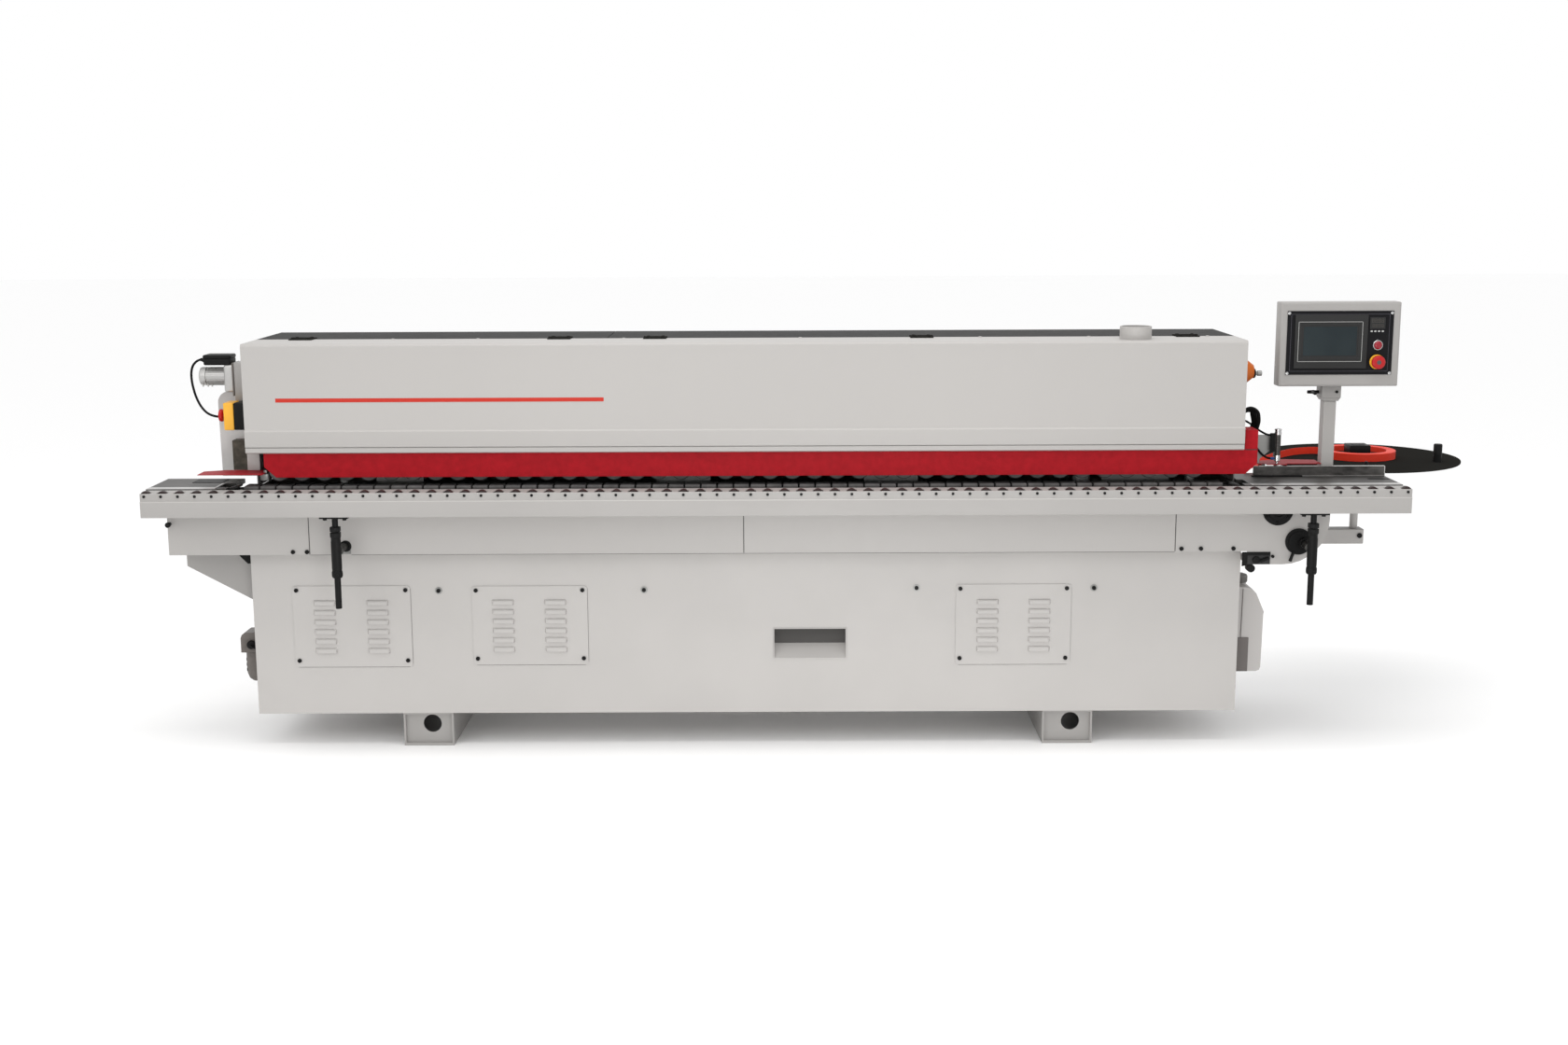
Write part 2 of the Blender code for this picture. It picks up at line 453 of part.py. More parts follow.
# ---- edging reel ---------------------------------------------------------------
arm = box("reel_arm", BASE_X1 + GAP, 1.8520, 0.4420, 0.4920, 0.5225, 0.5705, "shell", 0.003)
join(arm, cylinder("add_reel_post", (REEL_X, REEL_Y, 0.6750), 0.0125, 0.2300, "Z", None, 20))
disc = cylinder("reel_disc", (REEL_X, REEL_Y, REEL_Z - 0.0030), REEL_R, 0.0060, "Z", "dark", 64)
join(
    disc,
    cylinder("add_hub_plate", (REEL_X, REEL_Y, REEL_Z + 0.0030), 0.0870, 0.0100, "Z", None, 32),
    box("add_hub_block", REEL_X - 0.033, REEL_X + 0.033, REEL_Y - 0.033, REEL_Y + 0.033, REEL_Z + 0.004, REEL_Z + 0.040),
    cylinder("add_post_right", (REEL_X + 0.2140, REEL_Y - 0.1200, REEL_Z + 0.0270), 0.0133, 0.0590, "Z", None, 20),
    cylinder("add_post_front", (REEL_X - 0.0490, REEL_Y - 0.2510, REEL_Z + 0.0090), 0.0120, 0.0260, "Z", None, 16),
)
tape = cylinder("tape_roll", (REEL_X, REEL_Y, REEL_Z + 2 * GAP + TAPE_H / 2), TAPE_R, TAPE_H, "Z", "tape", 48)
cut(tape, cylinder("cut_tape", (REEL_X, REEL_Y, REEL_Z), TAPE_IN, 0.2, "Z", None, 48))

# ---- side fittings -------------------------------------------------------------
tank = slab(
    "release_agent_tank",
    [(BASE_X1 + 0.0030, 0.2010), (1.4300, 0.2010), (1.4430, 0.2130), (1.4445, 0.3960), (1.4070, 0.4600), (BASE_X1 + 0.0030, 0.4650)],
    "Y", 0.080, 0.230, "tank",
)
join(tank, cylinder("add_tank_neck", (1.386, 0.150, 0.4680), 0.0210, 0.046, "Z", None, 24))
air = box("air_filter_unit", -1.6480, BASE_X0 - GAP, 0.090, 0.160, 0.264, 0.342, "alu", 0.003)
join(air, cylinder("add_bowl", (-1.6220, 0.125, 0.2220), 0.0290, 0.098, "Z", None, 24), cylinder("add_knob", (-1.6080, 0.125, 0.3500), 0.017, 0.022, "Z", None, 20))

motor = box("end_motor", -1.6215, HOOD_X0 + 0.0032, 0.085, 0.155, 1.0350, 1.1490, "alu")
join(
    motor,
    cylinder("add_motor_body", (-1.6880, 0.120, 1.1040), 0.0270, 0.078, "X", None, 24),
    box("add_motor_flange", -1.6515, -1.6200, 0.085, 0.155, 1.0580, 1.1360),
    box("add_motor_box", -1.7100, -1.6290, 0.088, 0.150, 1.1280, 1.1690),
)
station = box("estop_station", -1.6375, HOOD_X0 + 0.0032, 0.0150, 0.0820, 0.9570, 1.0370, "yellow", 0.003)
cut(station, cylinder("cut_station", (-1.6375, 0.0485, 0.9970), 0.0100, 0.036, "X", None, 20))
mushroom = cylinder("side_estop_button", (-1.6525, 0.0485, 0.9970), 0.0185, 0.0130, "X", "red", 28)
join(mushroom, cylinder("add_side_stem", (-1.6405, 0.0485, 0.9970), 0.0090, 0.0190, "X", None, 20))
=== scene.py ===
"""Looks of the edge banding machine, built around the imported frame. Lengths in metres."""
import math
import random

import bmesh
import bpy
from mathutils import Matrix, Vector


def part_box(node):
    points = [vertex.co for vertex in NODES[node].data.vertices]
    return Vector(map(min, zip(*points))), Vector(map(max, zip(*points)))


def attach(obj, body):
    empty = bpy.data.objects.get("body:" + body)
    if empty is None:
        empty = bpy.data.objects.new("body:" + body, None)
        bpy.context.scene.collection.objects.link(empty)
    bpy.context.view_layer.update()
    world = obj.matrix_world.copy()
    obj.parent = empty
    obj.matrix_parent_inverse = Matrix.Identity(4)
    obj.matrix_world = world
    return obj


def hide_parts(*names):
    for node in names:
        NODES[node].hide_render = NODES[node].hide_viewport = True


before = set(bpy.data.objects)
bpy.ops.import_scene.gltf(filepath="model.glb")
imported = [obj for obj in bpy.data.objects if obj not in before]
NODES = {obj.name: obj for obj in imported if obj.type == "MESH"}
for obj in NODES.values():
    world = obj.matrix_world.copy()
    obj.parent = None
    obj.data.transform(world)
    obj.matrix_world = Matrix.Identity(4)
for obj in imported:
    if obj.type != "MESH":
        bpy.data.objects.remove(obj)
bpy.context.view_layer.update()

# The layout used below has X = 0 near the middle of the track, Y = 0 at the cabinet front and the floor at Z = 0.
BASE_LO, BASE_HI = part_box("base_cabinet")
SX = BASE_LO.x + 1.577
SY = BASE_LO.y


def P(x, y, z):
    return Vector((x + SX, y + SY, z))


# =============================================================== materials
def new_mat(name):
    m = bpy.data.materials.new(name)
    m.use_nodes = True
    nt = m.node_tree
    b = nt.nodes["Principled BSDF"]
    return m, nt, b


def coords(nt, scale=(1, 1, 1)):
    tc = nt.nodes.new("ShaderNodeTexCoord")
    mp = nt.nodes.new("ShaderNodeMapping")
    mp.inputs["Scale"].default_value = scale
    nt.links.new(tc.outputs["Object"], mp.inputs["Vector"])
    return mp.outputs["Vector"]


def noise(nt, vec, scale, detail=3.0, rough=0.5):
    n = nt.nodes.new("ShaderNodeTexNoise")
    n.inputs["Scale"].default_value = scale
    n.inputs["Detail"].default_value = detail
    n.inputs["Roughness"].default_value = rough
    nt.links.new(vec, n.inputs["Vector"])
    return n.outputs["Fac"]


def ramp(nt, fac, a, b, lo=0.35, hi=0.65):
    r = nt.nodes.new("ShaderNodeValToRGB")
    r.color_ramp.elements[0].position, r.color_ramp.elements[1].position = lo, hi
    r.color_ramp.elements[0].color = (*a, 1)
    r.color_ramp.elements[1].color = (*b, 1)
    nt.links.new(fac, r.inputs["Fac"])
    return r.outputs["Color"]


def span(nt, fac, lo, hi):
    m = nt.nodes.new("ShaderNodeMapRange")
    m.inputs["To Min"].default_value = lo
    m.inputs["To Max"].default_value = hi
    nt.links.new(fac, m.inputs["Value"])
    return m.outputs["Result"]


def bump(nt, b, height, strength, distance=0.001):
    n = nt.nodes.new("ShaderNodeBump")
    n.inputs["Strength"].default_value = strength
    n.inputs["Distance"].default_value = distance
    nt.links.new(height, n.inputs["Height"])
    nt.links.new(n.outputs["Normal"], b.inputs["Normal"])


def mul(c, k):
    return tuple(min(1.0, v * k) for v in c)


def paint_mat(name, colour, rough=0.42, grain=900, strength=0.12, vary=0.05, metal=0.0, coat=0.0, spec=0.5, blotch=2.2):
    """Powder coat or moulded finish: fine orange-peel bump, slow colour drift, small roughness changes."""
    m, nt, b = new_mat(name)
    v = coords(nt)
    big = noise(nt, v, blotch, 3)
    fine = noise(nt, v, grain, 2)
    nt.links.new(ramp(nt, big, mul(colour, 1 - vary), mul(colour, 1 + vary), 0.3, 0.7), b.inputs["Base Color"])
    nt.links.new(span(nt, noise(nt, v, 40, 4), rough - 0.06, rough + 0.06), b.inputs["Roughness"])
    b.inputs["Metallic"].default_value = metal
    b.inputs["Coat Weight"].default_value = coat
    b.inputs["Specular IOR Level"].default_value = spec
    bump(nt, b, fine, strength, 0.0006)
    return m


def metal_mat(name, colour, rough=0.32, stretch=(4, 260, 260), strength=0.10, vary=0.12):
    """Rolled or ground metal with fine directional lines and faint staining."""
    m, nt, b = new_mat(name)
    v = coords(nt, stretch)
    lines = noise(nt, v, 3.0, 4, 0.6)
    v2 = coords(nt)
    stain = noise(nt, v2, 14, 4)
    mix = nt.nodes.new("ShaderNodeMix")
    mix.data_type = "FLOAT"
    mix.inputs["Factor"].default_value = 0.5
    nt.links.new(lines, mix.inputs["A"])
    nt.links.new(stain, mix.inputs["B"])
    fac = mix.outputs["Result"]
    nt.links.new(ramp(nt, fac, mul(colour, 1 - vary), mul(colour, 1 + vary), 0.35, 0.65), b.inputs["Base Color"])
    nt.links.new(span(nt, fac, rough - 0.08, rough + 0.10), b.inputs["Roughness"])
    b.inputs["Metallic"].default_value = 1.0
    bump(nt, b, lines, strength, 0.0003)
    return m


SHELL = (0.392, 0.378, 0.364)
M = {
    "shell": paint_mat("textured_light_grey_paint", SHELL, 0.46, 1100, 0.14, 0.015, blotch=1.2),
    "shell_smooth": paint_mat("satin_light_grey_paint", mul(SHELL, 1.02), 0.36, 600, 0.05, 0.012),
    "lid": paint_mat("dark_grey_paint", (0.0155, 0.0152, 0.0148), 0.62, 1100, 0.14, 0.06, spec=0.12),
    "red": paint_mat("wrinkle_red_paint", (0.315, 0.0065, 0.012), 0.55, 330, 0.60, 0.10, blotch=60, spec=0.10),
    "red_plate": paint_mat("red_sheet_paint", (0.30, 0.008, 0.014), 0.50, 700, 0.08, 0.08, spec=0.12),
    "red_plastic": paint_mat("red_moulded_plastic", (0.40, 0.012, 0.014), 0.32, 500, 0.03, 0.06, spec=0.25),
    "red_lamp": paint_mat("red_lamp_lens", (0.260, 0.004, 0.014), 0.16, 500, 0.03, 0.10, spec=0.5),
    "stripe": paint_mat("orange_red_stripe", (0.47, 0.032, 0.020), 0.45, 900, 0.08, 0.03, spec=0.2),
    "rubber": paint_mat("black_pad_rubber", (0.105, 0.100, 0.098), 0.50, 260, 0.22, 0.30, blotch=30, spec=0.35),
    "rubber_dark": paint_mat("black_link_plastic", (0.012, 0.012, 0.012), 0.6, 260, 0.2, 0.25, blotch=30),
    "black": paint_mat("black_satin_plastic", (0.008, 0.008, 0.008), 0.45, 500, 0.08, 0.2, spec=0.12),
    "black_paint": paint_mat("black_steel_paint", (0.007, 0.007, 0.007), 0.45, 500, 0.12, 0.2, spec=0.12),
    "wheel": paint_mat("dark_wheel_plastic", (0.024, 0.014, 0.014), 0.42, 300, 0.06, 0.35, blotch=20, spec=0.22),
    "hose": paint_mat("black_cable_sheath", (0.006, 0.006, 0.006), 0.55, 700, 0.08, 0.2, spec=0.08),
    "zinc": metal_mat("zinc_plated_steel", (0.30, 0.30, 0.29), 0.40),
    "bright_edge": metal_mat("bright_cut_edge", (0.52, 0.51, 0.50), 0.36, (30, 30, 30), 0.10, 0.10),
    "dark_zinc": metal_mat("galvanised_dark_steel", (0.100, 0.096, 0.092), 0.46, (14, 30, 30), 0.16, 0.45),
    "steel": metal_mat("ground_steel", (0.55, 0.55, 0.54), 0.28),
    "chrome": metal_mat("bright_plated_steel", (0.52, 0.52, 0.52), 0.20, (60, 60, 60), 0.03, 0.06),
    "screw": metal_mat("black_oxide_screw", (0.022, 0.022, 0.022), 0.44, (200, 200, 200), 0.05, 0.25),
    "alu": metal_mat("cast_aluminium", (0.48, 0.475, 0.465), 0.44, (120, 120, 120), 0.22, 0.10),
    "tape": paint_mat("orange_red_edging", (0.720, 0.042, 0.020), 0.45, 500, 0.06, 0.06, spec=0.2),
    "disc": paint_mat("black_disc_laminate", (0.019, 0.0185, 0.017), 0.90, 900, 0.10, 0.08, spec=0.0),
    "yellow": paint_mat("yellow_moulded_plastic", (0.80, 0.40, 0.026), 0.40, 500, 0.05, 0.04),
    "blue": paint_mat("blue_fitting_plastic", (0.020, 0.070, 0.260), 0.36, 500, 0.05, 0.05, spec=0.3),
    "orange": paint_mat("orange_moulded_plastic", (0.52, 0.120, 0.016), 0.40, 500, 0.05, 0.05, spec=0.25),
    "tank": paint_mat("milky_tank_plastic", (0.460, 0.443, 0.430), 0.40, 300, 0.05, 0.03, spec=0.3),
    "guard_white": paint_mat("pale_guard_plastic", (0.60, 0.585, 0.575), 0.40, 600, 0.05, 0.02, spec=0.3),
    # painted shade: this near-black paint stands in for the shade in panel gaps, under the louvre lips and below the
    # plate edges
    "gap_shade": paint_mat("painted_gap_shade", (0.085, 0.082, 0.078), 0.8, 600, 0.05, 0.1, spec=0.05),
    "strip_dark": paint_mat("aged_dark_sheet", (0.085, 0.074, 0.058), 0.55, 500, 0.4, 0.35, blotch=55, spec=0.25),
    "rail": paint_mat("rail_grey_paint", mul(SHELL, 0.86), 0.50, 900, 0.12, 0.03, blotch=3),
    # painted light: the cabinet wears the shell grey made 14% lighter, standing in for the extra front light it gets
    "base": paint_mat("lit_base_shell_paint", mul(SHELL, 1.14), 0.46, 900, 0.12, 0.03, blotch=3),
    # painted highlight: shell grey made lighter, for the light the rail's fold catches from above
    "fold_highlight": paint_mat("painted_fold_highlight", mul(SHELL, 1.12), 0.40, 900, 0.05, 0.02),
    "shade": paint_mat("pocket_shaded_paint", mul(SHELL, 0.22), 0.8, 600, 0.05, 0.05, spec=0.05),
    "feet": paint_mat("foot_grey_paint", mul(SHELL, 0.78), 0.46, 900, 0.12, 0.03, blotch=3),
    "felt": paint_mat("wheel_felt", (0.60, 0.56, 0.46), 0.9, 200, 0.6, 0.1),
    "bezel": paint_mat("dark_grey_bezel", (0.026, 0.026, 0.026), 0.40, 700, 0.10, 0.12, spec=0.15),
    "plate": paint_mat("black_printed_plate", (0.0080, 0.0078, 0.0090), 0.34, 700, 0.05, 0.15, spec=0.10),
    "print": paint_mat("pale_printed_line", (0.42, 0.42, 0.41), 0.4, 700, 0.03, 0.04),
    "print_dim": paint_mat("dim_printed_line", (0.085, 0.082, 0.100), 0.4, 700, 0.03, 0.04, spec=0.2),
    "zinc_grey": paint_mat("grey_moulded_plastic", (0.070, 0.070, 0.072), 0.42, 500, 0.05, 0.10, spec=0.3),
    "panel_shell": paint_mat("panel_grey_paint", mul(SHELL, 0.78), 0.44, 900, 0.10, 0.03, blotch=5),
    "dark_rod": metal_mat("dark_guide_rod", (0.070, 0.069, 0.066), 0.42, (30, 30, 4), 0.06, 0.15),
    "filter_grey": paint_mat("grey_cast_filter", (0.130, 0.116, 0.106), 0.44, 300, 0.3, 0.14, blotch=30, spec=0.3),
    "tank_cap": paint_mat("grey_tank_cap", (0.200, 0.192, 0.182), 0.44, 300, 0.1, 0.06, spec=0.3),
    "bracket_grey": paint_mat("grey_bracket_steel", (0.135, 0.122, 0.116), 0.46, 300, 0.1, 0.10, spec=0.3),
    "digits": paint_mat("unlit_display_segments", (0.055, 0.048, 0.040), 0.3, 700, 0.03, 0.2),
}


def screen_mat():
    m, nt, b = new_mat("unlit_glossy_screen")
    v = coords(nt)
    nt.links.new(ramp(nt, noise(nt, v, 6, 2), (0.010, 0.016, 0.019), (0.017, 0.025, 0.028)), b.inputs["Base Color"])
    nt.links.new(span(nt, noise(nt, v, 60, 3), 0.10, 0.16), b.inputs["Roughness"])
    b.inputs["Specular IOR Level"].default_value = 0.22
    return m


M["screen"] = screen_mat()


# =============================================================== geometry kit
class Shape:
    """Collects closed shells in layout coordinates, then makes one object of them."""

    def __init__(self):
        self.bm = bmesh.new()

    def _new(self, made, bevel, seg):
        if bevel:
            edges = {e for v in made for e in v.link_edges}
            flat = [e for e in edges if len(e.link_faces) == 2 and e.calc_face_angle(0) > 0.6]
            bmesh.ops.bevel(self.bm, geom=flat, offset=bevel, segments=seg, profile=0.5, affect="EDGES", clamp_overlap=True)

    def box(self, x0, x1, y0, y1, z0, z1, bevel=0.0, seg=2, turn=None):
        mid = Vector(((x0 + x1) / 2, (y0 + y1) / 2, (z0 + z1) / 2))
        size = Matrix.Diagonal((x1 - x0, y1 - y0, z1 - z0, 1))
        at = Matrix.Translation(mid) @ (turn or Matrix.Identity(4))
        made = bmesh.ops.create_cube(self.bm, size=1, matrix=at @ size)["verts"]
        self._new(made, bevel, seg)
        return self

    def cyl(self, c, r, length, axis="Z", seg=24, r2=None, bevel=0.0, bseg=2, turn=None):
        rot = {"X": Matrix.Rotation(math.pi / 2, 4, "Y"), "Y": Matrix.Rotation(-math.pi / 2, 4, "X"), "Z": Matrix.Identity(4)}[axis]
        made = bmesh.ops.create_cone(
            self.bm, cap_ends=True, segments=seg, radius1=r, radius2=r if r2 is None else r2, depth=length,
            matrix=Matrix.Translation(Vector(c)) @ (turn or Matrix.Identity(4)) @ rot,
        )["verts"]
        self._new(made, bevel, bseg)
        return self

    def rod(self, a, b, r, seg=16, r2=None, bevel=0.0):
        a, b = Vector(a), Vector(b)
        q = (b - a).to_track_quat("Z", "Y").to_matrix().to_4x4()
        made = bmesh.ops.create_cone(
            self.bm, cap_ends=True, segments=seg, radius1=r, radius2=r if r2 is None else r2, depth=(b - a).length,
            matrix=Matrix.Translation((a + b) / 2) @ q,
        )["verts"]
        self._new(made, bevel, 2)
        return self

    def turned(self, profile, c, axis="Z", seg=32):
        """profile: (radius, height) pairs from bottom to top, closed on the axis or back onto its first point."""
        rot = {"X": Matrix.Rotation(math.pi / 2, 4, "Y"), "-X": Matrix.Rotation(-math.pi / 2, 4, "Y"), "Y": Matrix.Rotation(-math.pi / 2, 4, "X"), "-Y": Matrix.Rotation(math.pi / 2, 4, "X"), "Z": Matrix.Identity(4)}[axis]
        at = Matrix.Translation(Vector(c)) @ rot
        rings = []
        for r, h in profile:
            if r < 1e-7:
                rings.append([self.bm.verts.new(at @ Vector((0, 0, h)))])
            else:
                rings.append([self.bm.verts.new(at @ Vector((r * math.cos(2 * math.pi * i / seg), r * math.sin(2 * math.pi * i / seg), h))) for i in range(seg)])
        closed = profile[0][0] > 1e-7 and profile[-1][0] > 1e-7
        pairs = list(zip(rings, rings[1:])) + ([(rings[-1], rings[0])] if closed else [])
        for a, b in pairs:
            for i in range(seg):
                j = (i + 1) % seg
                if len(a) == 1 and len(b) == 1:
                    continue
                if len(a) == 1:
                    self.bm.faces.new((a[0], b[j], b[i]))
                elif len(b) == 1:
                    self.bm.faces.new((a[i], a[j], b[0]))
                else:
                    self.bm.faces.new((a[i], a[j], b[j], b[i]))
        return self

    def prism(self, outline, axis, lo, hi, bevel=0.0, seg=2):
        put = {"X": lambda u, v, w: (w, u, v), "Y": lambda u, v, w: (u, w, v), "Z": lambda u, v, w: (u, v, w)}[axis]
        low = [self.bm.verts.new(put(u, v, lo)) for u, v in outline]
        high = [self.bm.verts.new(put(u, v, hi)) for u, v in outline]
        self.bm.faces.new(low)
        self.bm.faces.new(list(reversed(high)))
        n = len(outline)
        for i in range(n):
            self.bm.faces.new((low[i], high[i], high[(i + 1) % n], low[(i + 1) % n]))
        self._new(low + high, bevel, seg)
        return self

    def done(self, name, body, mat, slot=None, replaces=(), angle=32):
        bmesh.ops.recalc_face_normals(self.bm, faces=self.bm.faces)
        bmesh.ops.translate(self.bm, vec=(SX, SY, 0), verts=self.bm.verts)
        mesh = bpy.data.meshes.new(name)
        self.bm.to_mesh(mesh)
        self.bm.free()
        for p in mesh.polygons:
            p.use_smooth = True
        mesh.set_sharp_from_angle(angle=math.radians(angle))
        obj = bpy.data.objects.new(name, mesh)
        bpy.context.scene.collection.objects.link(obj)
        obj.data.materials.append(M[mat])
        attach(obj, body)
        if replaces:
            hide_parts(*replaces)
        return obj


def smooth_path(points, steps=10):
    """Catmull-Rom through the points."""
    pts = [Vector(p) for p in points]
    pts = [2 * pts[0] - pts[1]] + pts + [2 * pts[-1] - pts[-2]]
    out = []
    for i in range(1, len(pts) - 2):
        a, b, c, d = pts[i - 1:i + 3]
        for s in range(steps):
            t = s / steps
            out.append(0.5 * ((2 * b) + (c - a) * t + (2 * a - 5 * b + 4 * c - d) * t * t + (3 * b - a - 3 * c + d) * t ** 3))
    out.append(pts[-2])
    return out


def tube(name, points, radius, body, mat, steps=10, seg=3, declare=None):
    path = smooth_path(points, steps)
    curve = bpy.data.curves.new(name, "CURVE")
    curve.dimensions = "3D"
    spline = curve.splines.new("POLY")
    spline.points.add(len(path) - 1)
    for p, q in zip(spline.points, path):
        p.co = (q.x + SX, q.y + SY, q.z, 1)
    curve.bevel_depth = radius
    curve.bevel_resolution = seg
    curve.use_fill_caps = True
    obj = bpy.data.objects.new(name, curve)
    bpy.context.scene.collection.objects.link(obj)
    curve.materials.append(M[mat])
    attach(obj, body)
    if declare:
        q = path[0]
    return obj


def arc(cx, cz, r, a0, a1, n):
    return [(cx + r * math.cos(math.radians(a0 + (a1 - a0) * i / n)), cz + r * math.sin(math.radians(a0 + (a1 - a0) * i / n))) for i in range(n + 1)]


def dress(mat, *names):
    for n in names:
        o = NODES[n]
        o.data.materials.clear()
        o.data.materials.append(M[mat])


def hex_socket(shape, c, r, h, axis="-Y"):
    """Cap screw head: knurled side hinted by 20 sides, a recess in its face."""
    shape.turned([(0, 0), (r, 0), (r, h * 0.85), (r * 0.88, h), (r * 0.52, h), (r * 0.50, h * 0.45), (0, h * 0.45)], c, axis, 20)


def washer(shape, c, r, h, axis="-Y"):
    shape.turned([(0, 0), (r, 0), (r, h * 0.7), (r * 0.93, h), (0, h)], c, axis, 24)


# =============================================================== camera, light and floor
FOCAL = 1970.0  # in units of a 1680-wide frame
PITCH, ROLL = math.radians(10.25), math.radians(-0.22)
EYE = P(0.0, -5.33, 1.643)


def add_camera():
    cam = bpy.data.cameras.new("camera")
    cam.sensor_width = 36.0
    cam.lens = FOCAL / 1680 * 36.0
    cam.clip_end = 100
    obj = bpy.data.objects.new("camera", cam)
    bpy.context.scene.collection.objects.link(obj)
    right = Vector((1, 0, 0))
    fwd = Vector((0, math.cos(PITCH), -math.sin(PITCH)))
    up = Vector((0, math.sin(PITCH), math.cos(PITCH)))
    r2 = right * math.cos(ROLL) + up * math.sin(ROLL)
    u2 = up * math.cos(ROLL) - right * math.sin(ROLL)
    m = Matrix((r2, u2, -fwd)).transposed().to_4x4()
    obj.matrix_world = Matrix.Translation(EYE) @ m
    bpy.context.scene.camera = obj
    return obj


def area(name, where, look, size, power, colour=(1, 1, 1), size_y=None):
    light = bpy.data.lights.new(name, "AREA")
    light.energy = power
    light.color = colour
    light.shape = "RECTANGLE"
    light.size = size
    light.size_y = size_y or size
    obj = bpy.data.objects.new(name, light)
    bpy.context.scene.collection.objects.link(obj)
    obj.location = where
    obj.rotation_euler = (Vector(look) - Vector(where)).to_track_quat("-Z", "Y").to_euler()
    return obj


add_camera()
bpy.context.scene.view_settings.view_transform = "Standard"
world = bpy.data.worlds.new("studio")
world.use_nodes = True
world.node_tree.nodes["Background"].inputs["Color"].default_value = (1, 1, 1, 1)
world.node_tree.nodes["Background"].inputs["Strength"].default_value = 1.0
bpy.context.scene.world = world

floor_mesh = bpy.data.meshes.new("floor")
bmf = bmesh.new()
bmesh.ops.create_grid(bmf, x_segments=1, y_segments=1, size=30)
bmf.to_mesh(floor_mesh)
bmf.free()
floor = bpy.data.objects.new("floor", floor_mesh)
bpy.context.scene.collection.objects.link(floor)
floor.location = (0, 0, -0.0005)
floor_mat, fnt, fb = new_mat("pale_floor")
fb.inputs["Base Color"].default_value = (0.98, 0.98, 0.98, 1)
fb.inputs["Roughness"].default_value = 0.9
fb.inputs["Specular IOR Level"].default_value = 0.1
floor_mesh.materials.append(floor_mat)

area("key_softbox", (-3.2, -4.2, 3.0), (-0.6, -0.2, 0.8), 2.2, 24, (1.0, 0.99, 0.98), 1.8)
area("top_softbox", (0.0, -1.3, 3.9), (0.0, -0.1, 0.8), 4.5, 62, (1.0, 0.99, 0.98), 1.3)
area("fill_softbox", (0.1, -3.2, 0.25), (0.05, 0.0, 0.35), 0.9, 15, (1.0, 1.0, 1.0), 0.4)

# =============================================================== CAD nodes that keep their mesh
# the cabinet parts take the lighter base paint, painted light
dress("base", "base_cabinet", "rear_panel", "pocket_handle")
dress("shell", "beam_cover_left", "beam_panel_left", "beam_panel_right", "beam_cover_right", "hood_end_right", "hood_rear_panel", "reel_arm", "dust_port")
# painted shade: the gusset takes the darker panel grey to stand in for the shade it sits in behind the cabinet front
dress("panel_shell", "gusset_bracket_left")
dress("shell", "panel_column")
dress("feet", "foot_channel_left", "foot_channel_right")
dress("guard_white", "hood_end_left")
dress("lid", "feed_motor")
dress("red", "pressure_guard")
dress("red_plate", "outfeed_guard_plate")
dress("zinc", "track_beam", "machine_deck", "pressure_beam")
dress("dark_zinc", "outfeed_table", "infeed_table")
dress("steel", "drive_sprocket", "idler_sprocket", "lift_column_left", "lift_column_right", "glue_roller", "end_trim_saw", "trim_cutter")
dress("alu", "glue_pot", "end_trim_unit", "trim_unit", "buffing_unit")
dress("felt", "buffing_wheel")
dress("rubber", "chain_pads")

# =============================================================== roller rail
RAIL_X0, RAIL_X1, RAIL_Y0, RAIL_Y1, RAIL_Z0, RAIL_Z1 = -1.836, 1.791, -0.163, -0.093, 0.7280, 0.7975
WHEEL_N, WHEEL_R, WHEEL_Z = 76, 0.0148, 0.7890
PITCHW = (RAIL_X1 - RAIL_X0 - 0.024) / (WHEEL_N - 1)
WHEELS = [RAIL_X0 + 0.012 + i * PITCHW for i in range(WHEEL_N)]

s = Shape()
w, k = 0.0025, 0.0028
FOLD = 0.7733
rail = [
    (RAIL_Y0 + k, RAIL_Z1 - 0.0012), (RAIL_Y0 + k, FOLD + 0.0030), (RAIL_Y0 + 0.0005, FOLD + 0.0004), (RAIL_Y0, FOLD - 0.0008), (RAIL_Y0, RAIL_Z0 + 0.0006), (RAIL_Y0 + 0.0006, RAIL_Z0), (RAIL_Y1 - 0.0006, RAIL_Z0), (RAIL_Y1, RAIL_Z0 + 0.0006), (RAIL_Y1, RAIL_Z1 - 0.0010), (RAIL_Y1 - 0.0010, RAIL_Z1),
    (-0.1295, RAIL_Z1), (-0.1295, RAIL_Z1 - w), (RAIL_Y1 - w, RAIL_Z1 - w), (RAIL_Y1 - w, RAIL_Z0 + w),
    (RAIL_Y0 + w, RAIL_Z0 + w), (RAIL_Y0 + w, FOLD - 0.0008), (RAIL_Y0 + k + w, FOLD + 0.0030), (RAIL_Y0 + k + w, RAIL_Z1 - w), (-0.1562, RAIL_Z1 - w), (-0.1562, RAIL_Z1), (RAIL_Y0 + k + 0.0012, RAIL_Z1),
]
s.prism(rail, "X", RAIL_X0, RAIL_X1)
# short bridges close the top between one wheel slot and the next
slot_half = 0.0152
edges = [RAIL_X0] + [v for x in WHEELS for v in (x - slot_half, x + slot_half)] + [RAIL_X1]
for a, b in zip(edges[0::2], edges[1::2]):
    if b - a > 0.002:
        s.box(a, b, -0.1563, -0.1294, RAIL_Z1 - 0.0024, RAIL_Z1)
s.done("roller_rail_folded", "support_rail", "rail", "shell_paint", ("roller_rail",))
# painted highlight: a lighter strip along the rail's fold stands in for the light it catches from above
s = Shape()
s.box(RAIL_X0 + 0.0004, RAIL_X1 - 0.0004, RAIL_Y0 + 0.0001, RAIL_Y0 + 0.0024, FOLD - 0.0010, FOLD + 0.0012, 0.0004, 1)
s.done("rail_fold_highlight", "support_rail", "fold_highlight", "shell_paint")

